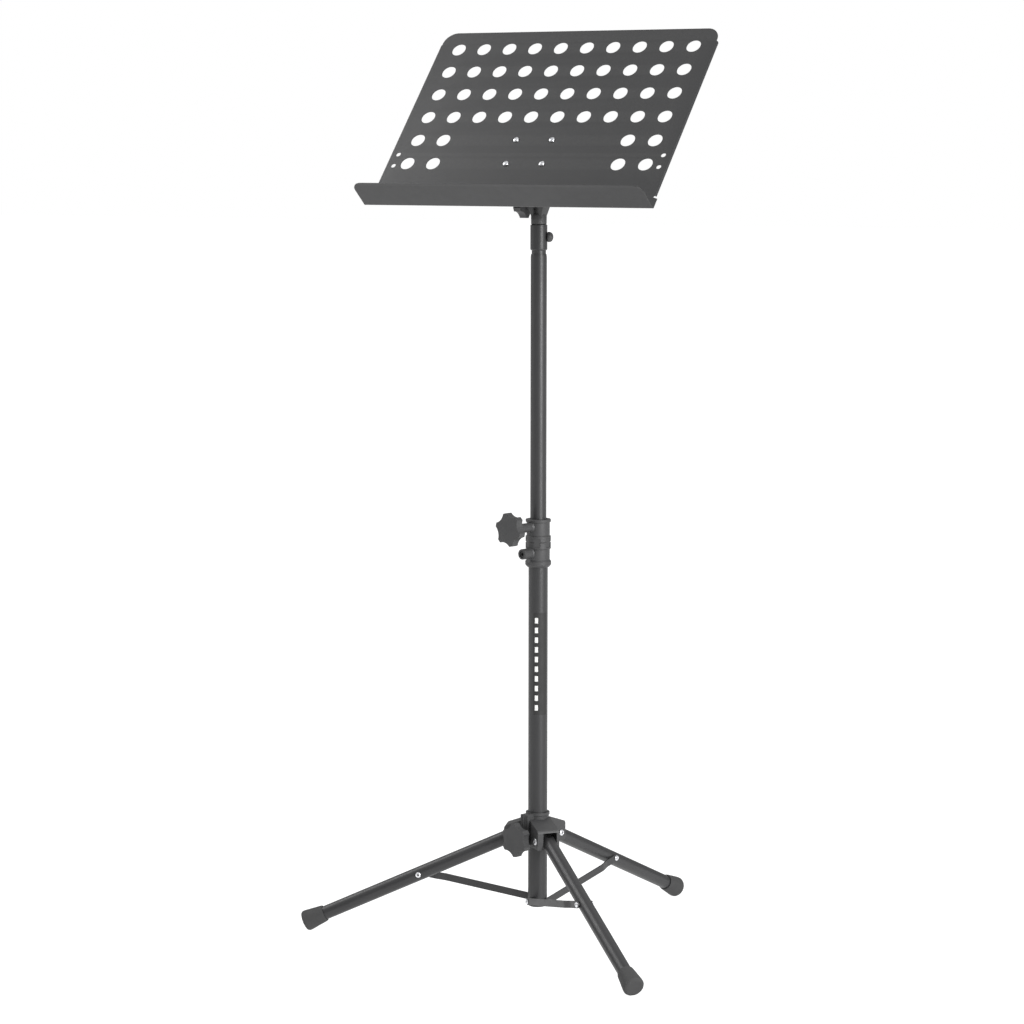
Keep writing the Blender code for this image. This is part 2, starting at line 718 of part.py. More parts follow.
def blank_outlines():
    """Outline of the flat blank, followed by its holes."""
    strip = DESK_HALF_WIDTH - SIDE_BEND_R + SIDE_BEND_R * math.pi / 2.0 + SIDE_FLANGE - SIDE_BEND_R
    shelf_edge = DESK_BEND_V + BEND_R - BEND_R * math.pi / 2.0 - (SHELF_DEPTH - BEND_R)
    corner_x = DESK_HALF_WIDTH - SIDE_BEND_R - DESK_CORNER_R
    half = [
        (SHELF_HALF_WIDTH, shelf_edge + SHELF_CORNER_R),
        (SHELF_HALF_WIDTH, FLANGE_BOTTOM_V - 5.0),
        (DESK_HALF_WIDTH - SIDE_BEND_R, FLANGE_BOTTOM_V - 3.0),
        (DESK_HALF_WIDTH - SIDE_BEND_R, FLANGE_BOTTOM_V),
        (strip, FLANGE_BOTTOM_V + 2.0),
        (strip, FLANGE_TOP_V - 2.0),
        (DESK_HALF_WIDTH - SIDE_BEND_R, FLANGE_TOP_V),
    ]
    half += arc(DESK_CORNER_R, 0.0, 90.0, 6, (corner_x, DESK_TOP_V - DESK_CORNER_R))
    shelf_centre = (SHELF_HALF_WIDTH - SHELF_CORNER_R, shelf_edge + SHELF_CORNER_R)
    shelf_arc = arc(SHELF_CORNER_R, -90.0, 0.0, 4, shelf_centre)
    right = shelf_arc[:-1] + half
    left = [(-u, v) for u, v in reversed(right)]
    outlines = [right + left]
    for row in range(ROWS):
        v = (ROWS / 2.0 - 0.5 - row) * PITCH_Z
        for column in range(COLUMNS):
            if row >= OPEN_ROWS and 2 <= column < COLUMNS - 2:
                continue
            u = (column - COLUMNS / 2.0 + 0.5) * PITCH_X
            outlines.append(circle(HOLE_R, HOLE_SIDES, (u, v)))
    for side in (-1.0, 1.0):
        outlines += [circle(SMALL_HOLE_R, 8, (side * SMALL_HOLE_X, v)) for v in SMALL_HOLE_V]
        outlines += [circle(2.6, 8, (side * SCREW_X, v)) for v in SCREW_V]
    return outlines


def build_desk_plate(tilt):
    """One folded sheet: the perforated plate, its side flanges and the shelf."""
    mesh = slab_mesh(blank_outlines(), -SHEET / 2.0, SHEET / 2.0, "XY")
    bm = bmesh.new()
    bm.from_mesh(mesh)
    for normal, level in fold_lines():
        geometry = bm.verts[:] + bm.edges[:] + bm.faces[:]
        point = Vector(normal) * level * MM
        bmesh.ops.bisect_plane(bm, geom=geometry, plane_co=point, plane_no=normal, dist=WELD / 10.0)
    for vert in bm.verts:
        vert.co = fold_point(*(vert.co / MM))
    bm.to_mesh(mesh)
    bm.free()
    add_object("desk_plate", mesh, tilt, "powder_coat")


def fold_lines(steps=3):
    """Lines of the blank where the sheet starts, continues and stops bending."""
    lines = []
    for step in range(steps + 1):
        part = step / steps * math.pi / 2.0
        for side in (-1.0, 1.0):
            lines.append(((1.0, 0.0, 0.0), side * (DESK_HALF_WIDTH - SIDE_BEND_R + SIDE_BEND_R * part)))
        lines.append(((0.0, 1.0, 0.0), DESK_BEND_V + BEND_R - BEND_R * part))
    return lines


def build_tilt_bracket(tilt):
    """Base plate screwed behind the sheet, with two ears back to the tilt bolt."""
    sheet_back = -PIVOT_TO_SHEET + SHEET
    near = sheet_back + GAP
    far = near + BRACKET_THICK
    low = min(SCREW_V) + PIVOT_TO_GRID - BRACKET_MARGIN
    high = max(SCREW_V) + PIVOT_TO_GRID + BRACKET_MARGIN
    radius = BRACKET_CORNER_R
    half = BRACKET_HALF_WIDTH
    outline = arc(radius, 0.0, 90.0, 3, (half - radius, high - radius))
    outline += arc(radius, 90.0, 180.0, 3, (-half + radius, high - radius))
    outline += arc(radius, 180.0, 270.0, 3, (-half + radius, low + radius))
    outline += arc(radius, 270.0, 360.0, 3, (half - radius, low + radius))
    holes = [circle(BRACKET_HOLE_R, 8, (side * SCREW_X, v + PIVOT_TO_GRID)) for side in (-1, 1) for v in SCREW_V]
    mesh = slab_mesh([outline] + holes, near, far, "XZ")
    bracket = add_object("tilt_bracket", mesh, tilt, "powder_coat")
    ear = [(far - 1.0, low + 1.0)] + arc(EAR_R, -95.0, 70.0, 12) + [(far - 1.0, high - 1.0)]
    for side in (-1.0, 1.0):
        low_x, high_x = sorted((side * (EAR_OUTER_X - EAR_THICK), side * EAR_OUTER_X))
        join(bracket, tilt, slab_mesh([ear], low_x, high_x, "YZ"))
    drill(bracket, tilt, TILT_BOLT_R + GAP, (-30.0, 0, 0), (30.0, 0, 0))


def build_desk_fasteners(tilt):
    number = 0
    sheet_front = -PIVOT_TO_SHEET
    bracket_back = sheet_front + SHEET + GAP + BRACKET_THICK
    for v in SCREW_V:
        for side in (-1.0, 1.0):
            number += 1
            origin = (side * SCREW_X, sheet_front - GAP, v + PIVOT_TO_GRID)
            length = bracket_back - sheet_front + GAP + 5.0
            domed_rivet(f"desk_screw_{number}", tilt, origin, (0, -1, 0), 2.3, length, (4.8, 2.4))
            near = bracket_back + GAP
            mesh = rod_mesh(4.3, (origin[0], near, origin[2]), (origin[0], near + 3.2, origin[2]), 6)
            nut = add_object(f"desk_nut_{number}", mesh, tilt, "zinc")
            drill(nut, tilt, 2.6, (origin[0], near - 1, origin[2]), (origin[0], near + 5, origin[2]), 12)


# ---------------------------------------------------------------- hub
def hub_lug_outline():
    """Side view of one lug in its radial plane: (radius, height)."""
    centre = (LUG_OUTER_R - LUG_CORNER_R, LUG_TOP_OUTER - LUG_CORNER_R - 0.3)
    corner = arc(LUG_CORNER_R, 0.0, 62.0, 4, centre)
    return [(12.0, HUB_BOTTOM), (LUG_OUTER_R, HUB_BOTTOM)] + corner + [(12.0, LUG_TOP_INNER + 2.2)]


def build_leg_hub(hub, clamp):
    """Moulded spider that slides on the lower tube, with a forked lug for each leg."""
    profile = [
        (0.0, HUB_TOP),
        (HUB_RING_R - 0.8, HUB_TOP),
        (HUB_RING_R, HUB_TOP - 1.0),
        (HUB_RING_R, HUB_TOP - 10.0),
        (HUB_CORE_R, HUB_TOP - 11.0),
        (HUB_CORE_R, HUB_BOTTOM),
        (0.0, HUB_BOTTOM),
    ]
    piece = add_object("leg_hub", turned_mesh("leg_hub", profile, FINE), hub, "moulding")
    for name, azimuth in LEG_AZIMUTHS.items():
        turn = Matrix.Rotation(math.radians(azimuth), 4, "Z")
        lug = slab_mesh([hub_lug_outline()], -LUG_HALF_WIDTH - LUG_PAD[name], LUG_HALF_WIDTH, "XZ")
        lug.transform(turn)
        join(piece, hub, lug)
    boss = box_mesh((-HUB_BOSS_HALF, 12.0, HUB_BOTTOM + 2.0), (HUB_BOSS_HALF, HUB_BOSS_R, HUB_BOSS_TOP))
    boss.transform(Matrix.Rotation(math.radians(CLAMP_AZIMUTH - 90.0), 4, "Z"))
    join(piece, hub, boss)
    slit = box_mesh(
        (HUB_SLIT_X[0], HUB_BORE_R - 1.3, HUB_BOTTOM - 2.0),
        (HUB_SLIT_X[1], HUB_BOSS_R + 2.0, HUB_TOP + 2.0),
    )
    for azimuth in LEG_AZIMUTHS.values():
        turn = Matrix.Rotation(math.radians(azimuth), 4, "Z")
        slot = box_mesh(
            (SLOT_INNER_R, -LUG_SLOT_HALF, HUB_BOTTOM - 2.0),
            (LUG_OUTER_R + 2.0, LUG_SLOT_HALF, SLOT_TOP),
        )
        slot.transform(turn)
        cut(piece, hub, slot)
        pin = rod_mesh(
            RIVET_R + GAP, (LEG_PIVOT_R, -24.0, LEG_PIVOT_Z), (LEG_PIVOT_R, 24.0, LEG_PIVOT_Z), COARSE,
        )
        pin.transform(turn)
        cut(piece, hub, pin)
    slit.transform(Matrix.Rotation(math.radians(CLAMP_AZIMUTH - 90.0), 4, "Z"))
    cut(piece, hub, slit)
    cut(piece, hub, rod_mesh(HUB_BORE_R, (0, 0, HUB_BOTTOM - 5.0), (0, 0, HUB_TOP + 5.0), FINE))
    drill(piece, clamp, STUD_R + GAP, (0, 0, 10.0), (0, 0, HUB_BOSS_R + 4.0))


# ---------------------------------------------------------------- legs and braces
def build_leg(name, spoke):
    """Leg tube, rubber foot and the rivet for its brace, with +X along the leg."""
    leg = add_empty(f"leg_pivot_{name}", spoke, (LEG_PIVOT_R, 0, LEG_PIVOT_Z), (0, LEG_ANGLE, 0))
    along = axis_matrix((0, 0, 0), (1, 0, 0))
    tube_end = LEG_LENGTH - 5.0
    bore = LEG_R - LEG_WALL
    profile = [(bore, tube_end), (LEG_R, tube_end), (LEG_R, -LEG_OVERHANG), (bore, -LEG_OVERHANG)]
    mesh = turned_mesh("leg_tube", profile, ROUND, along)
    tube = add_object(f"leg_tube_{name}", mesh, leg, "powder_coat")
    cut(tube, leg, slab_mesh([LEG_NOTCH], -20.0, 20.0, "XZ"))
    drill(tube, leg, RIVET_R + GAP, (0, -20, 0), (0, 20, 0))
    drill(tube, leg, BRACE_HOLE_R, (BRACE_ON_LEG, -20, 0), (BRACE_ON_LEG, 20, 0))

    mouth = LEG_LENGTH - CAP_LENGTH
    socket_r = LEG_R + GAP
    profile = [(0.0, LEG_LENGTH), (CAP_R - 4.2, LEG_LENGTH), (CAP_R - 1.3, LEG_LENGTH - 1.0)]
    profile += [(CAP_R - 0.1, LEG_LENGTH - 3.4), (CAP_R - 0.2, LEG_LENGTH - 8.0)]
    profile += [(CAP_R - 1.4, LEG_LENGTH - 18.0), (CAP_R - 3.1, mouth + 3.0)]
    profile += [(CAP_R - 3.6, mouth + 0.8), (CAP_R - 4.2, mouth), (socket_r, mouth)]
    profile += [(socket_r, tube_end + GAP), (0.0, tube_end + GAP)]
    mesh = turned_mesh("foot_cap", profile, FINE, along)
    cap = add_object(f"foot_cap_{name}", mesh, leg, "rubber")
    floor = box_mesh((LEG_PIVOT_R + 200, -60, FOOT_FLAT_Z - 30), (LEG_PIVOT_R + 400, 60, FOOT_FLAT_Z))
    cut(cap, spoke, floor)

    near_face = -(BRACE_Y_LEG - BRACE_THICK / 2.0)
    length = LEG_R + GAP - (near_face + GAP)
    domed_rivet(
        f"brace_leg_rivet_{name}", leg, (BRACE_ON_LEG, LEG_R + GAP, 0), (0, 1, 0),
        BRACE_HOLE_R - GAP, length, (4.4, 1.8),
    )


def brace_offset(x):
    """Distance of the strap's middle from the radial plane, eased through the joggle."""
    t = min(max((x - JOGGLE_START) / (JOGGLE_END - JOGGLE_START), 0.0), 1.0)
    ease = t * t * (3.0 - 2.0 * t)
    return -(BRACE_Y_COLUMN + (BRACE_Y_LEG - BRACE_Y_COLUMN) * ease)


def build_brace(name, spoke):
    """Flat strap from the column to the leg, joggled to lie beside both."""
    brace = add_empty(f"brace_pivot_{name}", spoke, (0, 0, BRACE_PIVOT_Z), (0, -BRACE_ANGLE, 0))
    half = BRACE_HALF_WIDTH
    outline = arc(half, 90.0, 270.0, 6) + arc(half, -90.0, 90.0, 6, (BRACE_LENGTH, 0.0))
    holes = [circle(BRACE_HOLE_R, COARSE), circle(BRACE_HOLE_R, COARSE, (BRACE_LENGTH, 0.0))]
    mesh = slab_mesh([outline] + holes, -BRACE_THICK / 2.0, BRACE_THICK / 2.0, "XZ")
    bm = bmesh.new()
    bm.from_mesh(mesh)
    steps = 3
    for step in range(steps + 1):
        x = JOGGLE_START + (JOGGLE_END - JOGGLE_START) * step / steps
        geometry = bm.verts[:] + bm.edges[:] + bm.faces[:]
        bmesh.ops.bisect_plane(
            bm, geom=geometry, plane_co=(x * MM, 0, 0), plane_no=(1, 0, 0), dist=WELD / 10.0,
        )
    for vert in bm.verts:
        vert.co.y += brace_offset(vert.co.x / MM) * MM
    bm.to_mesh(mesh)
    bm.free()
    add_object(f"leg_brace_{name}", mesh, brace, "powder_coat")

    outer_face = -(BRACE_Y_LEG + BRACE_THICK / 2.0) - GAP
    domed_rivet(
        f"brace_rivet_head_{name}", brace, (BRACE_LENGTH, outer_face, 0), (0, -1, 0),
        BRACE_HOLE_R - GAP, BRACE_THICK + GAP, (4.4, 1.8),
    )
    column_face = -(BRACE_Y_COLUMN + BRACE_THICK / 2.0) - GAP
    length = -column_face - (TUBE_LOWER_BORE_R - GAP) + 0.2
    domed_rivet(
        f"brace_pivot_rivet_{name}", spoke, (0, column_face, BRACE_PIVOT_Z), (0, -1, 0),
        BRACE_HOLE_R - GAP, length, (4.4, 1.8), (2.6, 1.2),
    )


def build_pivot_rivet(name, spoke):
    face = LUG_HALF_WIDTH + GAP
    head_y = -face - LUG_PAD[name]
    domed_rivet(
        f"leg_pivot_rivet_{name}", spoke, (LEG_PIVOT_R, head_y, LEG_PIVOT_Z), (0, -1, 0),
        RIVET_R, face - head_y, (5.0, 1.9), (5.0, 1.9),
    )


# ---------------------------------------------------------------- assembly
def clamp_axis(name, parent, height, azimuth):
    """An empty whose +Z points outward along a horizontal clamp screw and -X points up."""
    empty = add_empty(name, parent, (0, 0, height), (0, 90.0, azimuth))
    return empty


def stand_on_floor(column):
    """Move the stand so that the origin is the middle of its base."""
    bpy.context.view_layer.update()
    graph = bpy.context.evaluated_depsgraph_get()
    corners = []
    for obj in STAND.objects:
        if obj.type != "MESH":
            continue
        solid = obj.evaluated_get(graph)
        corners += [obj.matrix_world @ vert.co for vert in solid.data.vertices]
    low = [min(corner[axis] for corner in corners) for axis in range(3)]
    high = [max(corner[axis] for corner in corners) for axis in range(3)]
    middle = Vector(((low[0] + high[0]) / 2.0, (low[1] + high[1]) / 2.0, low[2]))
    column.location -= middle
    bpy.context.view_layer.update()


def build_stand():
    column = add_empty("column_axis", None)
    build_lower_tube(column)
    build_end_plug(column)
    height_clamp = clamp_axis("height_clamp_axis", column, HEIGHT_KNOB_Z, CLAMP_AZIMUTH)
    build_height_collar(column, height_clamp)
    build_collar_screw(height_clamp)
    height_face = HEIGHT_KNOB_R - KNOB_THICK / 2.0
    star_knob("height_knob", height_clamp, height_face, HEIGHT_BOSS_END + GAP, HEIGHT_KNOB_PHASE)
    stud("height_stud", height_clamp, TUBE_UPPER_R + GAP + 0.1, height_face)

    build_mast(column)
    build_thumbscrew(clamp_axis("thumbscrew_axis", column, THUMBSCREW_Z, THUMBSCREW_AZIMUTH))

    tilt = add_empty("tilt_axis", column, (0, 0, PIVOT_Z), (-DESK_TILT, 0, 0))
    build_desk_head(column, tilt)
    build_tilt_bolt(tilt)
    build_tilt_bracket(tilt)
    build_desk_plate(tilt)
    build_desk_fasteners(tilt)
    tilt_knob_axis = add_empty("tilt_knob_axis", tilt, (0, 0, 0), (0, -90.0, 0))
    tilt_stem = FORK_HALF_WIDTH + WASHER_THICK + 2.0 * GAP
    star_knob("tilt_knob", tilt_knob_axis, tilt_stem + TILT_KNOB_REACH, tilt_stem, TILT_KNOB_PHASE)

    hub_clamp = clamp_axis("hub_clamp_axis", column, HUB_KNOB_Z, CLAMP_AZIMUTH)
    build_leg_hub(column, hub_clamp)
    hub_face = HUB_KNOB_R - KNOB_THICK / 2.0
    star_knob("hub_knob", hub_clamp, hub_face, HUB_BOSS_R + GAP, HUB_KNOB_PHASE)
    stud("hub_stud", hub_clamp, TUBE_LOWER_R + GAP + 0.1, hub_face)

    for name, azimuth in LEG_AZIMUTHS.items():
        spoke = add_empty(f"spoke_{name}", column, (0, 0, 0), (0, 0, azimuth))
        build_pivot_rivet(name, spoke)
        build_leg(name, spoke)
        build_brace(name, spoke)
    stand_on_floor(column)


build_stand()
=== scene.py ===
"""Music stand, dressed around its CAD frame: fine meshes, finishes, camera and studio light.

Sizes are in millimetres from the column's foot; a mesh is turned into metres when it is made.
"""
import json
import math

import bmesh
import bpy
from mathutils import Matrix, Vector


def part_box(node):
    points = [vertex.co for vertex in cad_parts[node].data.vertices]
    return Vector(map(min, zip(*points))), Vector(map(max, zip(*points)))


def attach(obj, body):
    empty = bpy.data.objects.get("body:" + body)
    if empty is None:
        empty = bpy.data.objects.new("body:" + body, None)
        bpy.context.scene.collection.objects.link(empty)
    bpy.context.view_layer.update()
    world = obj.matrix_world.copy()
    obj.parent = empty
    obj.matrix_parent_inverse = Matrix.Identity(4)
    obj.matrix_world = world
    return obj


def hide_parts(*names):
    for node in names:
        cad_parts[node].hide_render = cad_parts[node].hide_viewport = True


MM = 0.001
WELD = 0.00001

# Column
TUBE_LOWER_R = 15.0
TUBE_LOWER_BORE_R = 13.8
TUBE_LOWER_BOTTOM = 54.5
TUBE_LOWER_TOP = 640.0
TUBE_UPPER_R = 12.5
TUBE_UPPER_BORE_R = 11.3
TUBE_UPPER_BOTTOM = 545.0
TUBE_UPPER_TOP = 1071.0
PLUG_BOTTOM = 51.5
PLUG_DEPTH = 1.5

# Height collar
COLLAR_TOP = 662.5
COLLAR_BODY_R = 18.0
COLLAR_FLANGE_R = 19.6
COLLAR_FOOT_R = 20.1
COLLAR_RING_TOP = 636.0
COLLAR_RING_GROOVE = 627.0
COLLAR_RING_BOTTOM = 616.5
COLLAR_FOOT_TOP = 596.5
COLLAR_BOTTOM = 588.0
COLLAR_CLEARANCE = 0.4
COLLAR_WINDOWS = 6
WINDOW_AZIMUTH = 293.5
WINDOW_HALF_WIDTH = 5.4
WINDOW_DEPTH = 1.2
WINDOW_BELOW = 2.6
WINDOW_ABOVE = 2.4
CLAMP_AZIMUTH = 256.0
HEIGHT_KNOB_Z = 650.5
HEIGHT_KNOB_R = 62.2
HEIGHT_BOSS_END = 34.0
HEIGHT_BOSS_ROOT = 16.5
HEIGHT_BOSS_FLARE = 1.6
HEIGHT_KNOB_PHASE = 45.0
COLLAR_SCREW_Z = 610.0
COLLAR_SCREW_BOSS_END = 36.5
COLLAR_SCREW_BOSS_R = 8.2
COLLAR_SCREW_BOSS_ROOT = 16.8
COLLAR_SCREW_BOSS_FLARE = 1.4
COLLAR_SCREW_BORE_R = 5.3
COLLAR_SCREW_BORE_END = 40.0
COLLAR_SCREW_SEAT = 30.0
COLLAR_SCREW_HEAD_R = 4.8
COLLAR_SCREW_HEAD = 5.2
COLLAR_SCREW_R = 3.0
COLLAR_SCREW_HEX_R = 2.6
COLLAR_SCREW_HEX_DEPTH = 3.6
BOSS_FLARE_END = 20.0

# Label film on the lower tube
LABEL_Z = (357.0, 517.0)
LABEL_AZIMUTHS = (272.0, 358.0)
MARK_Z = 364.0
MARK_PITCH = 15.2
MARK_HEIGHT = 8.6
MARK_COUNT = 10
MARK_AZIMUTHS = (281.0, 300.0)
FILM = 0.06
PATCH_STEPS = 40

# Star knobs
KNOB_R = 26.0
KNOB_VALLEY_R = 20.8
KNOB_SCALLOP_R = 17.5
KNOB_LOBES = 6
KNOB_THICK = 13.0
KNOB_STEM_R = 7.2
KNOB_EDGE = 1.8
KNOB_DOME = 1.0
KNOB_STEM_FLARE = 2.5

# Socket
SOCKET_R = 13.1
SOCKET_TOP = 1116.0
SOCKET_BOTTOM = 1077.0
SOCKET_SPIGOT_R = 11.0
SOCKET_SPIGOT_BOTTOM = 1046.0
SOCKET_BORE_R = 10.5
SOCKET_BORE_BOTTOM = 1082.0
THUMBSCREW_Z = 1097.0
THUMBSCREW_AZIMUTH = 25.0
THUMBSCREW_HEAD = ((0.0, 9.0), (3.2, 8.6), (6.0, 7.0), (7.7, 4.4), (8.0, 1.2), (7.4, 0.0))
THUMBSCREW_SHANK_R = 2.6
THUMBSCREW_RIBS = 20
RIB_GROOVE_R = 0.55
RIB_GROOVE_AT = 8.25
RIB_GROOVE_TOP = 6.0

# Desk head
STEM_R = 10.2
STEM_BOTTOM = 1084.0
NECK_R = 12.0
NECK_TOP = 1129.0
FORK_ROOT_HALF_WIDTH = 9.0
FORK_ROOT_HALF_DEPTH = 8.6
FORK_ROOT = 1121.0
FORK_SHOULDER = 1143.7
FORK_HALF_WIDTH = 13.5
FORK_HALF_DEPTH = 11.2
FORK_SLOT_HALF = 5.0
FORK_FLOOR = 1131.5
PIVOT_Z = 1151.6
TILT_KNOB_REACH = 4.5
TILT_KNOB_PHASE = 49.0
EAR_OUTER_X = 4.7
EAR_THICK = 2.0
EAR_R = 14.0
TILT_BOLT_R = 3.7
TILT_BOLT_HEAD_R = 6.6
TILT_BOLT_HEAD = 4.6
TILT_BOLT_CROWN = ((0.0, 4.7), (5.4, 4.7), (6.9, 3.4), (6.9, 0.0), (0.0, 0.0))
TILT_BOLT_TAIL = 5.0
WASHER_R = 9.0
WASHER_THICK = 1.2

# Desk
DESK_TILT = 40.8
SHEET = 1.2
PIVOT_TO_SHEET = 72.3
PIVOT_TO_GRID = 130.4
PITCH_X = 46.3
PITCH_Z = 47.0
HOLE_R = 11.8
COLUMNS = 10
ROWS = 6
OPEN_ROWS = 4
SIDE_COLUMNS = 2
SMALL_HOLE_R = 4.0
SMALL_HOLE_X = 232.3
SMALL_HOLE_V = (-99.5, -122.2)
DESK_HALF_WIDTH = 245.7
DESK_TOP_V = 153.0
DESK_BEND_V = -202.0
DESK_CORNER_R = 22.0
SIDE_FLANGE = 3.5
FLANGE_BOTTOM_V = -178.0
FLANGE_TOP_V = 128.0
SHELF_HALF_WIDTH = 251.0
SHELF_DEPTH = 53.0
SHELF_CORNER_R = 16.5
BEND_R = 3.0
SIDE_BEND_R = 2.0
SCREW_X = 31.5
SCREW_V = (-70.0, -117.5)
SCREW_HEAD = ((0.0, 2.4), (2.6, 2.1), (4.2, 1.2), (4.8, 0.0))
SCREW_R = 2.3
SCREW_TAIL = 5.0
SCREW_TURN = (30.0, 25.0)
CROSS_HALF_LENGTH = 2.6
CROSS_HALF_WIDTH = 0.45
CROSS_DEPTH = (1.1, 4.0)
NUT_R = 4.3
NUT_BORE_R = 2.6
NUT_THICK = 3.2
BRACKET_CORNER_R = 6.0
BRACKET_HALF_WIDTH = 40.0
BRACKET_THICK = 2.0
BRACKET_MARGIN = 9.3

# Hub
HUB_BORE_R = 15.3
HUB_RING_R = 18.7
HUB_RING_STEP = 1.1
HUB_RING_DEPTH = 11.0
HUB_TOP = 202.0
HUB_BOTTOM = 151.0
HUB_CORE_R = 19.5
LUG_HALF_WIDTH = 15.5
LUG_PAD = {"left": 0.0, "front": 4.8, "right": 0.0}
LUG_SLOT_HALF = 11.3
LUG_OUTER_R = 51.0
LUG_TOP_INNER = 191.5
LUG_TOP_OUTER = 182.5
LUG_CORNER_R = 6.0
SLOT_TOP = 177.0
SLOT_INNER_R = 24.5
HUB_BOSS_R = 30.0
HUB_BOSS_HALF = 7.5
HUB_BOSS_TOP = 201.0
HUB_RIB_TOP = 200.0
HUB_WALL_START = 12.0
HUB_BLOCK_END = 3.4
HUB_RIB_HALF = 1.6
HUB_GROOVES = (-4.6, -1.6)
HUB_GROOVE_WIDTH = 0.9
HUB_GROOVE_DEPTH = 0.7
HUB_LIP = 4.2
HUB_KNOB_R = 48.5
HUB_KNOB_Z = 163.5
HUB_KNOB_PHASE = 35.0
LEG_PIVOT_R = 40.8
LEG_PIVOT_Z = 163.0
RIVET_R = 2.5
RIVET_HEAD = (5.0, 1.9)

# Legs and braces
LEG_AZIMUTHS = {"left": 202.0, "front": 322.3, "right": 81.6}
LEG_ANGLE = 24.45
LEG_LENGTH = 364.6
LEG_R = 10.9
LEG_WALL = 1.2
LEG_OVERHANG = 6.0
LEG_TUBE_SHORT = 5.0
CAP_LENGTH = 36.0
CAP_R = 16.4
FOOT_FLAT_Z = -0.8
FOOT_CUT_R = (200, 400)
FOOT_CUT_HALF = 60
FOOT_CUT_DEPTH = 30
LEG_NOTCH = ((-12.0, 2.8), (9.5, 11.6), (9.5, 14.0), (-12.0, 14.0))
BRACE_ON_LEG = 161.9
BRACE_PIVOT_Z = 59.0
BRACE_RUN = LEG_PIVOT_R + BRACE_ON_LEG * math.cos(math.radians(LEG_ANGLE))
BRACE_RISE = LEG_PIVOT_Z - BRACE_ON_LEG * math.sin(math.radians(LEG_ANGLE)) - BRACE_PIVOT_Z
BRACE_ANGLE = math.degrees(math.atan2(BRACE_RISE, BRACE_RUN))
BRACE_LENGTH = math.hypot(BRACE_RUN, BRACE_RISE)
BRACE_HALF_WIDTH = 5.5
BRACE_THICK = 2.0
BRACE_Y_COLUMN = 16.5
BRACE_Y_LEG = 12.5
JOGGLE_START = 148.0
JOGGLE_END = 170.0
JOGGLE_STEPS = 16
STRAP_RIVET_R = 2.1
STRAP_RIVET_HEAD = (4.4, 1.8)
STRAP_RIVET_TAIL = (2.6, 1.2)

# Clearance, half lengths of cutters that run right through, steps in a turn, crease angle
GAP = 0.3
ACROSS = 20.0
THROUGH = 30.0
SMOOTH = 96
FINE = 64
SMALL = 40
SHARP_ANGLE = 35.0

# Camera, from the column's foot
CAMERA_FROM_COLUMN = (2430.3, -4224.4, 1235.0)
CAMERA_YAW = 30.39
CAMERA_PITCH = 6.58
CAMERA_ROLL = 0.062
CAMERA_LENS = 111.48
SENSOR = 36.0

# Studio, in metres, degrees and watts: each softbox has an azimuth, an elevation, a distance,
# a width and height and a power
FLOOR_HALF = 40.0
FLOOR_DROP = 0.0002
FLOOR_TONE = (0.20, 0.20, 0.20, 1.0)
FLOOR_GLOW = 0.97
WHITE = (1.0, 1.0, 1.0, 1.0)
SKY = (0.25, 0.85)
SKY_RISE = (0.0, 0.9)
AIM_HEIGHT = 0.75
SOFTBOXES = {
    "key_right": (341.0, 16.0, 2.6, (0.75, 2.2), 90.0),
    "fill_left": (190.0, 38.0, 2.6, (1.2, 1.6), 26.0),
    "strip_left": (214.0, 6.0, 3.0, (0.6, 2.4), 5.0),
}

# The middle of a noise's range, and the curvature from which edges wear
NOISE_MIDDLE = (0.3, 0.7)
CONVEX = (0.53, 0.62)


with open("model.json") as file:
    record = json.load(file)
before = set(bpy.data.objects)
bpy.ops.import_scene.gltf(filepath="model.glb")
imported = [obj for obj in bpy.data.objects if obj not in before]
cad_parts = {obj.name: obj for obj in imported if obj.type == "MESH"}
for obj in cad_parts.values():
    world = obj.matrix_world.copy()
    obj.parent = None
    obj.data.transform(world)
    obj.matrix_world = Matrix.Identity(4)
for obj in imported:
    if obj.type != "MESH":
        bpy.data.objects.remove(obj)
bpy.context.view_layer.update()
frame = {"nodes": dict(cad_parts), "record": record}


# ---------------------------------------------------------------- places
def turn(angle, axis):
    return Matrix.Rotation(math.radians(angle), 4, axis)


def shift(x, y, z):
    return Matrix.Translation(Vector((x, y, z)) * MM)


def column_matrix():
    low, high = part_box("lower_tube")
    middle_x = (low.x + high.x) / 2.0
    middle_y = (low.y + high.y) / 2.0
    return Matrix.Translation((middle_x, middle_y, low.z - TUBE_LOWER_BOTTOM * MM))


def clamp_matrix(height, azimuth):
    """+Z points outward along a horizontal clamp screw and -X points up."""
    return COLUMN @ shift(0, 0, height) @ turn(azimuth, "Z") @ turn(90.0, "Y")


def axis_matrix(origin, direction):
    rotation = Vector(direction).to_track_quat("Z", "Y").to_matrix().to_4x4()
    return shift(*origin) @ rotation


COLUMN = column_matrix()
TILT = COLUMN @ shift(0, 0, PIVOT_Z) @ turn(-DESK_TILT, "X")
HEIGHT_CLAMP = clamp_matrix(HEIGHT_KNOB_Z, CLAMP_AZIMUTH)
HUB_CLAMP = clamp_matrix(HUB_KNOB_Z, CLAMP_AZIMUTH)
THUMBSCREW = clamp_matrix(THUMBSCREW_Z, THUMBSCREW_AZIMUTH)


# ---------------------------------------------------------------- outlines
def arc(radius, start, end, steps, centre=(0.0, 0.0)):
    points = []
    for step in range(steps + 1):
        angle = math.radians(start + (end - start) * step / steps)
        points.append((centre[0] + radius * math.cos(angle), centre[1] + radius * math.sin(angle)))
    return points


def circle(radius, count, centre=(0.0, 0.0)):
    return arc(radius, 0.0, 360.0 * (count - 1) / count, count - 1, centre)


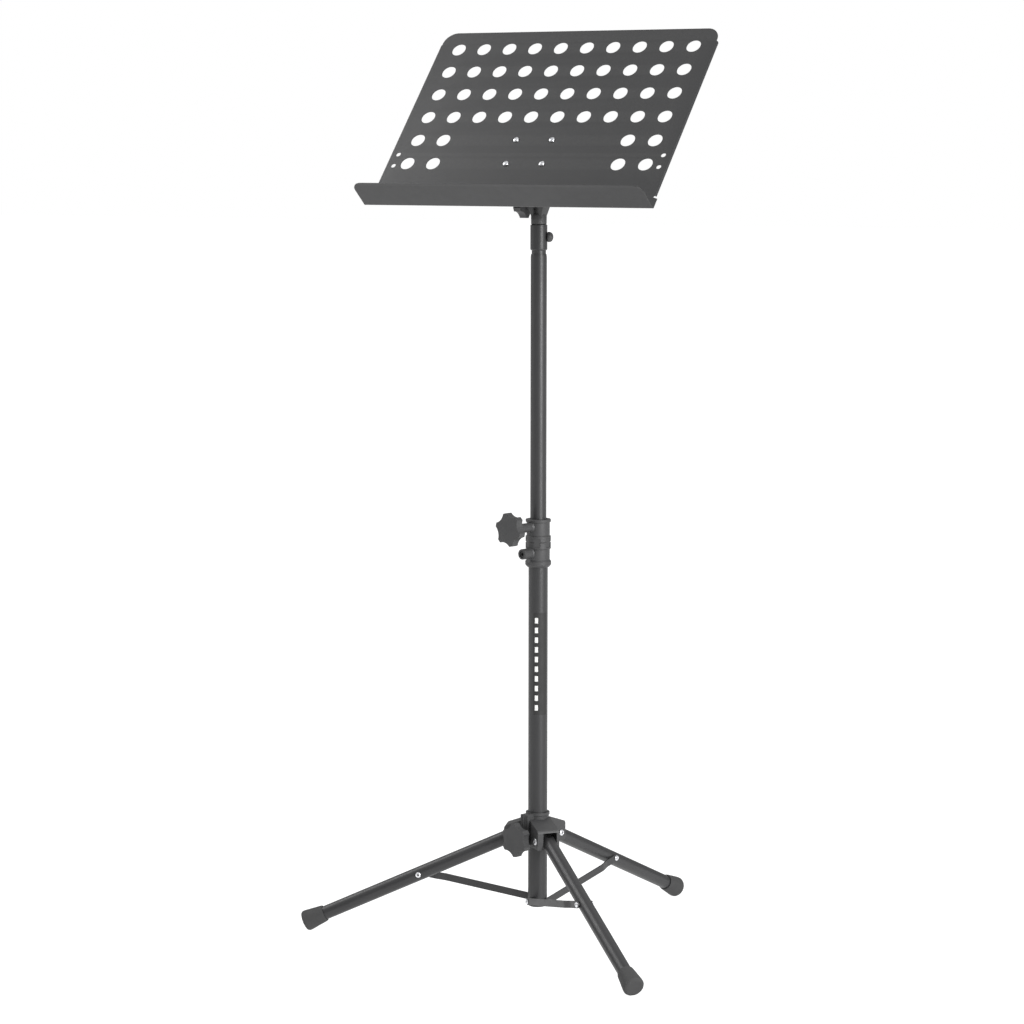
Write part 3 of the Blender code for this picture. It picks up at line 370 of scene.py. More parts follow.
def fillet(points, radius, steps=4, closed=True):
    """Round the corners of a polyline, each by no more than its shorter side allows."""
    count = len(points)
    rounded = []
    for index, corner in enumerate(points):
        if not closed and index in (0, count - 1):
            rounded.append(corner)
            continue
        here = Vector(corner)
        before = Vector(points[index - 1]) - here
        after = Vector(points[(index + 1) % count]) - here
        bend = math.pi - before.angle(after)
        if bend < math.radians(8.0):
            rounded.append(corner)
            continue
        reach = min(radius * math.tan(bend / 2.0), before.length * 0.45, after.length * 0.45)
        start = here + before.normalized() * reach
        end = here + after.normalized() * reach
        for step in range(steps + 1):
            t = step / steps
            point = start * (1 - t) ** 2 + here * 2 * t * (1 - t) + end * t**2
            rounded.append((point.x, point.y))
    return rounded


# ---------------------------------------------------------------- meshes
def evaluated_mesh(source):
    bpy.context.view_layer.update()
    graph = bpy.context.evaluated_depsgraph_get()
    mesh = bpy.data.meshes.new_from_object(source.evaluated_get(graph))
    bpy.data.objects.remove(source, do_unlink=True)
    mesh.materials.clear()
    bm = bmesh.new()
    bm.from_mesh(mesh)
    bmesh.ops.remove_doubles(bm, verts=bm.verts, dist=WELD)
    bm.to_mesh(mesh)
    bm.free()
    return mesh


def temporary(data):
    source = bpy.data.objects.new("temporary", data)
    bpy.context.scene.collection.objects.link(source)
    return source


def bm_mesh(bm):
    mesh = bpy.data.meshes.new("mesh")
    bm.to_mesh(mesh)
    bm.free()
    return mesh


def turned(profile, steps=FINE, matrix=Matrix(), edge=0.4):
    """Spin (radius, height) points about Z, outer side first and downward, corners rounded."""
    hollow = profile[0][0] > 0.0
    if edge > 0.0:
        profile = fillet(profile, edge, 3, hollow)
    bm = bmesh.new()
    verts = [bm.verts.new((radius * MM, 0.0, height * MM)) for radius, height in profile]
    pairs = list(zip(verts, verts[1:]))
    if hollow:
        pairs.append((verts[-1], verts[0]))
    for pair in pairs:
        bm.edges.new(pair)
    source = temporary(bm_mesh(bm))
    screw = source.modifiers.new("screw", "SCREW")
    screw.steps = steps
    screw.render_steps = steps
    screw.use_merge_vertices = True
    screw.merge_threshold = WELD
    mesh = evaluated_mesh(source)
    mesh.transform(matrix)
    return mesh


PLANES = {
    "XY": Matrix(),
    "XZ": Matrix(((1, 0, 0, 0), (0, 0, -1, 0), (0, 1, 0, 0), (0, 0, 0, 1))),
    "YZ": Matrix(((0, 0, 1, 0), (1, 0, 0, 0), (0, 1, 0, 0), (0, 0, 0, 1))),
}


def slab(outlines, low, high, plane="XY"):
    """Extrude outlines, the later ones being holes, along the plane's normal."""
    curve = bpy.data.curves.new("outline", "CURVE")
    curve.dimensions = "2D"
    curve.fill_mode = "BOTH"
    curve.extrude = (high - low) / 2.0 * MM
    for outline in outlines:
        spline = curve.splines.new("POLY")
        spline.points.add(len(outline) - 1)
        for point, (u, v) in zip(spline.points, outline):
            point.co = (u * MM, v * MM, 0.0, 1.0)
        spline.use_cyclic_u = True
    mesh = evaluated_mesh(temporary(curve))
    level = (high + low) / 2.0 * (-1.0 if plane == "XZ" else 1.0)
    mesh.transform(PLANES[plane] @ shift(0, 0, level))
    return mesh


def rod(radius, start, end, sides=SMALL):
    start, end = Vector(start), Vector(end)
    bm = bmesh.new()
    length = (end - start).length * MM
    bmesh.ops.create_cone(
        bm, cap_ends=True, segments=sides, radius1=radius * MM, radius2=radius * MM, depth=length,
    )
    bm.transform(axis_matrix((start + end) / 2.0, end - start))
    return bm_mesh(bm)


def block(low, high):
    low, high = Vector(low), Vector(high)
    bm = bmesh.new()
    bmesh.ops.create_cube(bm, size=1.0)
    size = (high - low) * MM
    bm.transform(Matrix.Translation((low + high) * MM / 2.0) @ Matrix.Diagonal((*size, 1.0)))
    return bm_mesh(bm)


def moved(mesh, matrix):
    mesh.transform(matrix)
    return mesh


def combined(mesh, tools, operation):
    """Boolean a mesh with several others in turn."""
    for tool in tools:
        source = temporary(mesh)
        other = temporary(tool)
        modifier = source.modifiers.new("boolean", "BOOLEAN")
        modifier.operation = operation
        modifier.solver = "EXACT"
        modifier.object = other
        mesh = evaluated_mesh(source)
        bpy.data.objects.remove(other, do_unlink=True)
    return mesh


def softened(mesh, width, segments=2, angle=40.0):
    """Round the edges of a finished mesh."""
    source = temporary(mesh)
    bevel = source.modifiers.new("bevel", "BEVEL")
    bevel.width = width * MM
    bevel.segments = segments
    bevel.limit_method = "ANGLE"
    bevel.angle_limit = math.radians(angle)
    bevel.miter_outer = "MITER_ARC"
    return evaluated_mesh(source)


# ---------------------------------------------------------------- finishes
def new_material(name):
    material = bpy.data.materials.new(name)
    material.use_nodes = True
    tree = material.node_tree
    return material, tree, tree.nodes["Principled BSDF"]


def node(tree, kind, **settings):
    made = tree.nodes.new(kind)
    for key, value in settings.items():
        if key in made.inputs:
            made.inputs[key].default_value = value
        else:
            setattr(made, key, value)
    return made


def noise(tree, scale, detail=2.0):
    coords = tree.nodes.new("ShaderNodeTexCoord")
    texture = node(tree, "ShaderNodeTexNoise", Scale=scale, Detail=detail)
    tree.links.new(coords.outputs["Object"], texture.inputs["Vector"])
    return texture.outputs["Fac"]


def ranged(tree, value, low, high):
    """Map the usable middle of a noise to a range."""
    mapper = node(tree, "ShaderNodeMapRange")
    mapper.inputs["From Min"].default_value = NOISE_MIDDLE[0]
    mapper.inputs["From Max"].default_value = NOISE_MIDDLE[1]
    mapper.inputs["To Min"].default_value = low
    mapper.inputs["To Max"].default_value = high
    tree.links.new(value, mapper.inputs["Value"])
    return mapper.outputs["Result"]


def mixed(tree, factor, first, second):
    mixer = node(tree, "ShaderNodeMix", data_type="RGBA")
    tree.links.new(factor, mixer.inputs["Factor"])
    for socket, colour in ((mixer.inputs[6], first), (mixer.inputs[7], second)):
        if isinstance(colour, tuple):
            socket.default_value = (*colour, 1.0)
        else:
            tree.links.new(colour, socket)
    return mixer.outputs[2]


def bump(tree, shader, height, strength, distance):
    made = node(tree, "ShaderNodeBump", Strength=strength, Distance=distance)
    tree.links.new(height, made.inputs["Height"])
    tree.links.new(made.outputs["Normal"], shader.inputs["Normal"])


def edge_wear(tree, strength):
    """Rises where the surface is convex, broken up by noise."""
    geometry = tree.nodes.new("ShaderNodeNewGeometry")
    edges = node(tree, "ShaderNodeMapRange")
    edges.inputs["From Min"].default_value = CONVEX[0]
    edges.inputs["From Max"].default_value = CONVEX[1]
    edges.inputs["To Max"].default_value = strength
    tree.links.new(geometry.outputs["Pointiness"], edges.inputs["Value"])
    product = node(tree, "ShaderNodeMath", operation="MULTIPLY")
    tree.links.new(edges.outputs["Result"], product.inputs[0])
    tree.links.new(noise(tree, 180.0, 4.0), product.inputs[1])
    return product.outputs["Value"]


def dark_finish(name, tones, worn, roughness, grain_scale, grain, wear):
    """A dark coating or plastic: slight mottling, fine grain and paler worn edges."""
    material, tree, shader = new_material(name)
    mottled = mixed(tree, noise(tree, 22.0, 4.0), *tones)
    colour = mixed(tree, edge_wear(tree, wear), mottled, worn)
    tree.links.new(colour, shader.inputs["Base Color"])
    tree.links.new(ranged(tree, noise(tree, 70.0, 3.0), *roughness), shader.inputs["Roughness"])
    bump(tree, shader, noise(tree, grain_scale, 3.0), grain, 0.0002)
    return material, shader


def powder_coat():
    material, _ = dark_finish(
        "powder_coat", tones=((0.016, 0.016, 0.017), (0.021, 0.021, 0.022)),
        worn=(0.045, 0.045, 0.045), roughness=(0.38, 0.45), grain_scale=1400.0, grain=0.22, wear=0.5,
    )
    return material


def moulding():
    material, _ = dark_finish(
        "moulding", tones=((0.030, 0.030, 0.031), (0.038, 0.038, 0.039)),
        worn=(0.055, 0.055, 0.055), roughness=(0.50, 0.60), grain_scale=2200.0, grain=0.35, wear=0.4,
    )
    return material


def rubber():
    material, shader = dark_finish(
        "rubber", tones=((0.036, 0.036, 0.037), (0.048, 0.048, 0.048)),
        worn=(0.07, 0.07, 0.07), roughness=(0.66, 0.80), grain_scale=1800.0, grain=0.5, wear=0.6,
    )
    shader.inputs["Specular IOR Level"].default_value = 0.35
    return material


def zinc():
    material, tree, shader = new_material("zinc")
    shader.inputs["Metallic"].default_value = 1.0
    colour = mixed(tree, noise(tree, 300.0, 4.0), (0.62, 0.63, 0.65), (0.86, 0.86, 0.88))
    tree.links.new(colour, shader.inputs["Base Color"])
    tree.links.new(ranged(tree, noise(tree, 500.0, 3.0), 0.22, 0.36), shader.inputs["Roughness"])
    bump(tree, shader, noise(tree, 1200.0, 3.0), 0.12, 0.0001)
    return material


def printed_film(name, tones, roughness):
    material, tree, shader = new_material(name)
    tree.links.new(mixed(tree, noise(tree, 90.0, 3.0), *tones), shader.inputs["Base Color"])
    tree.links.new(ranged(tree, noise(tree, 60.0, 3.0), *roughness), shader.inputs["Roughness"])
    bump(tree, shader, noise(tree, 900.0, 2.0), 0.05, 0.0001)
    return material


def black_steel():
    material, shader = dark_finish(
        "black_steel", tones=((0.018, 0.018, 0.019), (0.026, 0.026, 0.027)),
        worn=(0.10, 0.10, 0.10), roughness=(0.34, 0.44), grain_scale=1500.0, grain=0.15, wear=0.5,
    )
    shader.inputs["Metallic"].default_value = 0.5
    return material


FINISHES = {
    "powder_coat": powder_coat(),
    "moulding": moulding(),
    "rubber": rubber(),
    "zinc": zinc(),
    "black_steel": black_steel(),
    "label_film": printed_film(
        "label_film", ((0.010, 0.010, 0.010), (0.014, 0.014, 0.014)), (0.58, 0.68),
    ),
    "label_ink": printed_film("label_ink", ((0.62, 0.62, 0.61), (0.70, 0.70, 0.69)), (0.50, 0.60)),
}


def piece(name, mesh, matrix, body, finish, nodes=()):
    """Link a fine mesh that rides on a body and stands for CAD nodes."""
    mesh.transform(matrix)
    mesh.shade_smooth()
    mesh.set_sharp_from_angle(angle=math.radians(SHARP_ANGLE))
    mesh.materials.append(FINISHES[finish])
    obj = bpy.data.objects.new(name, mesh)
    bpy.context.scene.collection.objects.link(obj)
    weighted = obj.modifiers.new("weighted_normals", "WEIGHTED_NORMAL")
    weighted.keep_sharp = True
    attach(obj, body)
    if nodes:
        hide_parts(*nodes)


def dress_cad(*names):
    """Give a CAD node that stays in view its finish."""
    slots = {part["node"]: part["material_slot"] for part in frame["record"]["subparts"]}
    for name in names:
        mesh = frame["nodes"][name].data
        mesh.materials.clear()
        mesh.materials.append(FINISHES[slots[name]])
        mesh.shade_smooth()
        mesh.set_sharp_from_angle(angle=math.radians(SHARP_ANGLE))


# ---------------------------------------------------------------- camera, floor and light
def build_camera():
    data = bpy.data.cameras.new("camera")
    data.lens = CAMERA_LENS
    data.sensor_width = SENSOR
    camera = bpy.data.objects.new("camera", data)
    bpy.context.scene.collection.objects.link(camera)
    place = COLUMN @ shift(*CAMERA_FROM_COLUMN) @ turn(CAMERA_YAW, "Z")
    camera.matrix_world = place @ turn(90.0 - CAMERA_PITCH, "X") @ turn(CAMERA_ROLL, "Z")
    bpy.context.scene.camera = camera


def build_floor():
    bm = bmesh.new()
    bmesh.ops.create_grid(bm, x_segments=4, y_segments=4, size=FLOOR_HALF)
    floor = bpy.data.objects.new("floor", bm_mesh(bm))
    floor.location.z = -FLOOR_DROP
    bpy.context.scene.collection.objects.link(floor)
    material, _, shader = new_material("floor")
    shader.inputs["Base Color"].default_value = FLOOR_TONE
    shader.inputs["Roughness"].default_value = 0.9
    shader.inputs["Emission Color"].default_value = WHITE
    shader.inputs["Emission Strength"].default_value = FLOOR_GLOW
    floor.data.materials.append(material)


def add_softbox(name, azimuth, elevation, distance, size, power):
    """An area light that faces the middle of the column, azimuth 0 being +X."""
    data = bpy.data.lights.new(name, "AREA")
    data.shape = "RECTANGLE"
    data.size, data.size_y = size
    data.energy = power
    light = bpy.data.objects.new(name, data)
    a, e = math.radians(azimuth), math.radians(elevation)
    direction = Vector((math.cos(a) * math.cos(e), math.sin(a) * math.cos(e), math.sin(e)))
    target = COLUMN @ Vector((0.0, 0.0, AIM_HEIGHT))
    light.matrix_world = Matrix.Translation(target + direction * distance) @ (
        direction.to_track_quat("Z", "Y").to_matrix().to_4x4()
    )
    bpy.context.scene.collection.objects.link(light)


def build_world():
    """A white backdrop whose light on the stand is dim at the horizon and bright overhead."""
    world = bpy.data.worlds.new("studio")
    bpy.context.scene.world = world
    world.use_nodes = True
    tree = world.node_tree
    background = tree.nodes["Background"]
    coords = tree.nodes.new("ShaderNodeTexCoord")
    split = tree.nodes.new("ShaderNodeSeparateXYZ")
    tree.links.new(coords.outputs["Generated"], split.inputs["Vector"])
    height = node(tree, "ShaderNodeMapRange", interpolation_type="SMOOTHSTEP")
    height.inputs["From Min"].default_value = SKY_RISE[0]
    height.inputs["From Max"].default_value = SKY_RISE[1]
    height.inputs["To Min"].default_value = SKY[0]
    height.inputs["To Max"].default_value = SKY[1]
    tree.links.new(split.outputs["Z"], height.inputs["Value"])
    path = tree.nodes.new("ShaderNodeLightPath")
    choose = node(tree, "ShaderNodeMix", data_type="FLOAT")
    tree.links.new(path.outputs["Is Camera Ray"], choose.inputs["Factor"])
    tree.links.new(height.outputs["Result"], choose.inputs[2])
    choose.inputs[3].default_value = 1.0
    tree.links.new(choose.outputs[0], background.inputs["Strength"])
    background.inputs["Color"].default_value = WHITE


def build_light():
    build_world()
    for name, setting in SOFTBOXES.items():
        add_softbox(name, *setting)
    bpy.context.scene.view_settings.view_transform = "Standard"


# ---------------------------------------------------------------- knobs, rivets and screws
def star_outline():
    centre_r = KNOB_VALLEY_R + KNOB_SCALLOP_R
    cosine = (KNOB_R**2 + centre_r**2 - KNOB_SCALLOP_R**2) / (2.0 * KNOB_R * centre_r)
    reach = math.degrees(math.acos(cosine))
    rim = (KNOB_R * math.cos(math.radians(reach)), KNOB_R * math.sin(math.radians(reach)))
    swing = math.degrees(math.atan2(rim[1], centre_r - rim[0]))
    sector = 360.0 / KNOB_LOBES
    outline = []
    for lobe in range(KNOB_LOBES):
        middle = lobe * sector
        angle = math.radians(middle)
        centre = (centre_r * math.cos(angle), centre_r * math.sin(angle))
        outline += arc(KNOB_SCALLOP_R, middle + 180.0 + swing, middle + 180.0 - swing, 14, centre)
        outline += arc(KNOB_R, middle + reach, middle + sector - reach, 8)[1:-1]
    return outline


def star_knob(name, matrix, body, face_near, stem_start, phase):
    """A lobed knob with a slightly domed face and rounded edges."""
    top = face_near + KNOB_THICK
    star = slab([star_outline()], face_near, top + 1.0)
    dome = turned([
        (0.0, top),
        (KNOB_R * 0.35, top - KNOB_DOME * 0.12),
        (KNOB_R * 0.7, top - KNOB_DOME * 0.5),
        (KNOB_R + 1.0, top - KNOB_DOME),
        (KNOB_R + 1.0, face_near),
        (0.0, face_near),
    ], SMOOTH, edge=0.0)
    star = combined(star, [dome], "INTERSECT")
    star = softened(star, KNOB_EDGE, 4, 50.0)
    stem = turned([
        (0.0, face_near + 1.0),
        (KNOB_STEM_R + KNOB_STEM_FLARE, face_near + 1.0),
        (KNOB_STEM_R + 1.0, face_near - 1.5),
        (KNOB_STEM_R, face_near - 3.0),
        (KNOB_STEM_R, stem_start),
        (0.0, stem_start),
    ])
    star = combined(star, [stem], "UNION")
    piece(name, star, matrix @ turn(phase, "Z"), body, "moulding", [name])


def rivet_profile(shank, length, head, tail):
    """A tubular rivet: flanged head rolled around a deep bore, plain or flared tail."""
    head_r, head_h = head
    bore = head_r * 0.36
    profile = [(0.0, -1.6), (bore, -1.6), (bore, head_h * 0.7), (head_r * 0.48, head_h)]
    profile += [(head_r * 0.66, head_h * 0.98), (head_r * 0.90, head_h * 0.62), (head_r, head_h * 0.12)]
    profile += [(head_r * 0.99, 0.0), (shank, 0.0)]
    if tail:
        tail_r, tail_h = tail
        low = -length - tail_h
        profile += [(shank, -length), (tail_r, -length), (tail_r * 0.9, -length - tail_h * 0.6)]
        profile += [(tail_r * 0.6, low), (tail_r * 0.35, low), (0.0, -length - tail_h * 0.4)]
    else:
        profile += [(shank, -length), (0.0, -length)]
    return profile


def rivet(name, matrix, origin, direction, body, shank, length, head, tail=None):
    profile = rivet_profile(shank, length, head, tail)
    mesh = turned(profile, SMALL, axis_matrix(origin, direction), 0.25)
    piece(name, mesh, matrix, body, "zinc", [name])


# ---------------------------------------------------------------- column
def build_column():
    mesh = turned([
        (TUBE_LOWER_BORE_R, TUBE_LOWER_TOP),
        (TUBE_LOWER_R, TUBE_LOWER_TOP),
        (TUBE_LOWER_R, TUBE_LOWER_BOTTOM),
        (TUBE_LOWER_BORE_R, TUBE_LOWER_BOTTOM),
    ], SMOOTH)
    piece("lower_tube_skin", mesh, COLUMN, "column", "powder_coat", ["lower_tube"])
    mesh = turned([
        (0.0, TUBE_LOWER_BOTTOM + PLUG_DEPTH),
        (TUBE_LOWER_BORE_R - GAP, TUBE_LOWER_BOTTOM + PLUG_DEPTH),
        (TUBE_LOWER_BORE_R - GAP, TUBE_LOWER_BOTTOM - GAP),
        (TUBE_LOWER_R, TUBE_LOWER_BOTTOM - GAP),
        (TUBE_LOWER_R - 0.5, PLUG_BOTTOM + 1.0),
        (TUBE_LOWER_R - 2.4, PLUG_BOTTOM),
        (0.0, PLUG_BOTTOM),
    ], SMOOTH)
    piece("column_foot_plug", mesh, COLUMN, "column", "moulding", ["column_end_plug"])
    mesh = turned([
        (TUBE_UPPER_BORE_R, TUBE_UPPER_TOP),
        (TUBE_UPPER_R - 0.6, TUBE_UPPER_TOP),
        (TUBE_UPPER_R, TUBE_UPPER_TOP - 5.0),
        (TUBE_UPPER_R, TUBE_UPPER_BOTTOM),
        (TUBE_UPPER_BORE_R, TUBE_UPPER_BOTTOM),
    ], SMOOTH)
    piece("upper_tube_skin", mesh, COLUMN, "mast", "powder_coat", ["upper_tube"])
    mesh = turned([
        (SOCKET_BORE_R, SOCKET_TOP),
        (SOCKET_R - 0.7, SOCKET_TOP),
        (SOCKET_R, SOCKET_TOP - 0.8),
        (SOCKET_R, SOCKET_BOTTOM + 1.2),
        (SOCKET_R - 1.0, SOCKET_BOTTOM),
        (SOCKET_SPIGOT_R, SOCKET_BOTTOM - 0.6),
        (SOCKET_SPIGOT_R, SOCKET_SPIGOT_BOTTOM),
        (6.0, SOCKET_SPIGOT_BOTTOM),
        (6.0, SOCKET_BORE_BOTTOM),
        (SOCKET_BORE_R, SOCKET_BORE_BOTTOM),
    ], SMOOTH)
    piece("mast_socket_skin", mesh, COLUMN, "mast", "powder_coat", ["mast_socket"])


def tube_patch(radius, azimuths, heights):
    """A thin curved patch that lies on a tube."""
    outer = arc(radius + FILM, *azimuths, PATCH_STEPS)
    inner = arc(radius, azimuths[1], azimuths[0], PATCH_STEPS)
    return slab([outer + inner], *heights)


def build_label():
    """A plain dark film with a row of even pale marks and no lettering."""
    mesh = tube_patch(TUBE_LOWER_R + FILM / 2.0, LABEL_AZIMUTHS, LABEL_Z)
    piece("tube_label_film", mesh, COLUMN, "column", "label_film")
    for index in range(MARK_COUNT):
        low = MARK_Z + index * MARK_PITCH
        mesh = tube_patch(TUBE_LOWER_R + FILM * 2.0, MARK_AZIMUTHS, (low, low + MARK_HEIGHT))
        piece(f"tube_mark_{index + 1}", mesh, COLUMN, "column", "label_ink")


def build_height_collar():
    shoulder = TUBE_LOWER_TOP + GAP
    mesh = turned([
        (COLLAR_FLANGE_R - 0.8, COLLAR_TOP),
        (COLLAR_FLANGE_R, COLLAR_TOP - 0.8),
        (COLLAR_FLANGE_R, COLLAR_TOP - 4.2),
        (COLLAR_BODY_R, COLLAR_TOP - 5.4),
        (COLLAR_BODY_R, COLLAR_RING_TOP + 0.8),
        (COLLAR_FLANGE_R, COLLAR_RING_TOP),
        (COLLAR_FLANGE_R, COLLAR_RING_GROOVE + 1.0),
        (COLLAR_FLANGE_R - 1.0, COLLAR_RING_GROOVE + 0.5),
        (COLLAR_FLANGE_R - 1.0, COLLAR_RING_GROOVE - 0.5),
        (COLLAR_FLANGE_R, COLLAR_RING_GROOVE - 1.0),
        (COLLAR_FLANGE_R, COLLAR_RING_BOTTOM),
        (COLLAR_BODY_R, COLLAR_RING_BOTTOM - 0.8),
        (COLLAR_BODY_R, COLLAR_FOOT_TOP + 3.0),
        (COLLAR_FOOT_R, COLLAR_FOOT_TOP),
        (COLLAR_FOOT_R, COLLAR_BOTTOM + 3.6),
        (COLLAR_FOOT_R - 2.8, COLLAR_BOTTOM),
        (TUBE_LOWER_R + GAP, COLLAR_BOTTOM),
        (TUBE_LOWER_R + GAP, shoulder),
        (TUBE_UPPER_R + COLLAR_CLEARANCE, shoulder),
        (TUBE_UPPER_R + COLLAR_CLEARANCE, COLLAR_TOP),
    ], SMOOTH, edge=0.5)
    lift = HEIGHT_KNOB_Z - COLLAR_SCREW_Z
    to_column = COLUMN.inverted() @ HEIGHT_CLAMP
    knob_boss = turned([
        (0.0, HEIGHT_BOSS_END),
        (KNOB_STEM_R, HEIGHT_BOSS_END),
        (KNOB_STEM_R, BOSS_FLARE_END),
        (KNOB_STEM_R + HEIGHT_BOSS_FLARE, HEIGHT_BOSS_ROOT),
        (0.0, HEIGHT_BOSS_ROOT),
    ], FINE, to_column)
    screw_boss = turned([
        (0.0, COLLAR_SCREW_BOSS_END),
        (COLLAR_SCREW_BOSS_R, COLLAR_SCREW_BOSS_END),
        (COLLAR_SCREW_BOSS_R, BOSS_FLARE_END),
        (COLLAR_SCREW_BOSS_R + COLLAR_SCREW_BOSS_FLARE, COLLAR_SCREW_BOSS_ROOT),
        (0.0, COLLAR_SCREW_BOSS_ROOT),
    ], FINE, to_column @ shift(lift, 0, 0), 0.9)
    mesh = combined(mesh, [knob_boss, screw_boss], "UNION")
    screw_bore = rod(
        COLLAR_SCREW_BORE_R, (lift, 0, COLLAR_SCREW_SEAT - GAP), (lift, 0, COLLAR_SCREW_BORE_END),
    )
    bores = [
        rod(TUBE_LOWER_R + GAP, (0, 0, COLLAR_BOTTOM - 8.0), (0, 0, shoulder), SMOOTH),
        moved(screw_bore, to_column),
    ]
    windows = []
    pitch = 360.0 / COLLAR_WINDOWS
    for index in range(COLLAR_WINDOWS):
        azimuth = WINDOW_AZIMUTH + index * pitch
        window = block(
            (COLLAR_FLANGE_R - WINDOW_DEPTH, -WINDOW_HALF_WIDTH, COLLAR_RING_BOTTOM + WINDOW_ABOVE),
            (COLLAR_FLANGE_R + 4.0, WINDOW_HALF_WIDTH, COLLAR_RING_TOP - WINDOW_BELOW),
        )
        windows.append(moved(window, turn(azimuth, "Z")))
    mesh = combined(mesh, bores + windows, "DIFFERENCE")
    piece("height_collar_body", mesh, COLUMN, "column", "moulding", ["height_collar"])

    top = COLLAR_SCREW_SEAT + COLLAR_SCREW_HEAD
    tip = TUBE_LOWER_R + 2.0 * GAP
    mesh = turned([
        (0.0, top),
        (COLLAR_SCREW_HEAD_R, top),
        (COLLAR_SCREW_HEAD_R, COLLAR_SCREW_SEAT),
        (COLLAR_SCREW_R, COLLAR_SCREW_SEAT),
        (COLLAR_SCREW_R, tip),
        (0.0, tip),
    ], SMALL, shift(lift, 0, 0), 0.6)
    low_end = (lift, 0, top - COLLAR_SCREW_HEX_DEPTH)
    hexagon = rod(COLLAR_SCREW_HEX_R, low_end, (lift, 0, top + 2.0), 6)
    mesh = combined(mesh, [hexagon], "DIFFERENCE")
    piece("collar_socket_screw", mesh, HEIGHT_CLAMP, "column", "black_steel", ["collar_screw"])


def build_thumbscrew():
    face = SOCKET_R + GAP
    tip = SOCKET_BORE_R + 0.1
    profile = [(radius, face + height) for radius, height in THUMBSCREW_HEAD]
    profile += [(THUMBSCREW_SHANK_R, face), (THUMBSCREW_SHANK_R, tip), (0.0, tip)]
    mesh = turned(profile, SMOOTH, edge=0.6)
    grooves = []
    for index in range(THUMBSCREW_RIBS):
        low_end = (RIB_GROOVE_AT, 0, face - 1.0)
        groove = rod(RIB_GROOVE_R, low_end, (RIB_GROOVE_AT, 0, face + RIB_GROOVE_TOP), 12)
        grooves.append(moved(groove, turn(360.0 * index / THUMBSCREW_RIBS, "Z")))
    mesh = combined(mesh, grooves, "DIFFERENCE")
    piece("thumbscrew", mesh, THUMBSCREW, "socket_screw", "moulding", ["socket_thumbscrew"])


# ---------------------------------------------------------------- desk head and desk
def build_desk_head():
    fork_top = PIVOT_Z + FORK_HALF_DEPTH
    half = [
        (FORK_ROOT_HALF_WIDTH, FORK_ROOT),
        (FORK_ROOT_HALF_WIDTH, NECK_TOP),
        (FORK_HALF_WIDTH, FORK_SHOULDER),
        (FORK_HALF_WIDTH, fork_top + 1.0),
    ]
    front = half + [(-x, z) for x, z in reversed(half)]
    side = arc(FORK_HALF_DEPTH, 0.0, 180.0, 40, (0.0, PIVOT_Z)) + [
        (-FORK_HALF_DEPTH, FORK_SHOULDER),
        (-FORK_ROOT_HALF_DEPTH, NECK_TOP),
        (-FORK_ROOT_HALF_DEPTH, FORK_ROOT - 1.0),
        (FORK_ROOT_HALF_DEPTH, FORK_ROOT - 1.0),
        (FORK_ROOT_HALF_DEPTH, NECK_TOP),
        (FORK_HALF_DEPTH, FORK_SHOULDER),
    ]
    fork = slab([fillet(front, 3.0, 6)], -ACROSS, ACROSS, "XZ")
    fork = combined(fork, [slab([side], -THROUGH, THROUGH, "YZ")], "INTERSECT")
    stem = turned([
        (0.0, NECK_TOP + 10.0),
        (NECK_R - 5.0, NECK_TOP + 10.0),
        (NECK_R - 2.4, NECK_TOP + 5.0),
        (NECK_R - 0.8, NECK_TOP),
        (NECK_R, NECK_TOP - 5.0),
        (NECK_R, SOCKET_TOP + 1.2),
        (NECK_R - 0.8, SOCKET_TOP + GAP),
        (STEM_R, SOCKET_TOP + GAP),
        (STEM_R, STEM_BOTTOM + 2.0),
        (STEM_R - 2.0, STEM_BOTTOM),
        (0.0, STEM_BOTTOM),
    ], FINE)
    mesh = combined(fork, [stem], "UNION")
    cuts = [
        block((-FORK_SLOT_HALF, -ACROSS, FORK_FLOOR), (FORK_SLOT_HALF, ACROSS, fork_top + 2.0)),
        rod(TILT_BOLT_R + GAP, (-THROUGH, 0, PIVOT_Z), (THROUGH, 0, PIVOT_Z)),
    ]
    mesh = softened(combined(mesh, cuts, "DIFFERENCE"), 0.6, 3)
    piece("desk_head_casting", mesh, COLUMN, "desk_head", "moulding", ["desk_head"])


def build_tilt_bolt():
    near = FORK_HALF_WIDTH + GAP
    head = slab([circle(TILT_BOLT_HEAD_R, 6)], near, near + TILT_BOLT_HEAD)
    crown = turned([(radius, near + height) for radius, height in TILT_BOLT_CROWN])
    head = combined(head, [crown], "INTERSECT")
    knob_end = -near - WASHER_THICK - GAP - TILT_KNOB_REACH - TILT_BOLT_TAIL
    shank = rod(TILT_BOLT_R, (0, 0, knob_end), (0, 0, near + 1.0))
    mesh = combined(head, [shank], "UNION")
    to_right = turn(90.0, "Y")
    piece("tilt_pivot_bolt", softened(mesh, 0.2), TILT @ to_right, "desk_head", "zinc", ["tilt_bolt"])
    mesh = turned([
        (TILT_BOLT_R + GAP, near + WASHER_THICK),
        (WASHER_R, near + WASHER_THICK),
        (WASHER_R, near),
        (TILT_BOLT_R + GAP, near),
    ], edge=0.25)
    piece("tilt_knob_washer", mesh, TILT @ turn(-90.0, "Y"), "desk_head", "zinc", ["tilt_washer"])


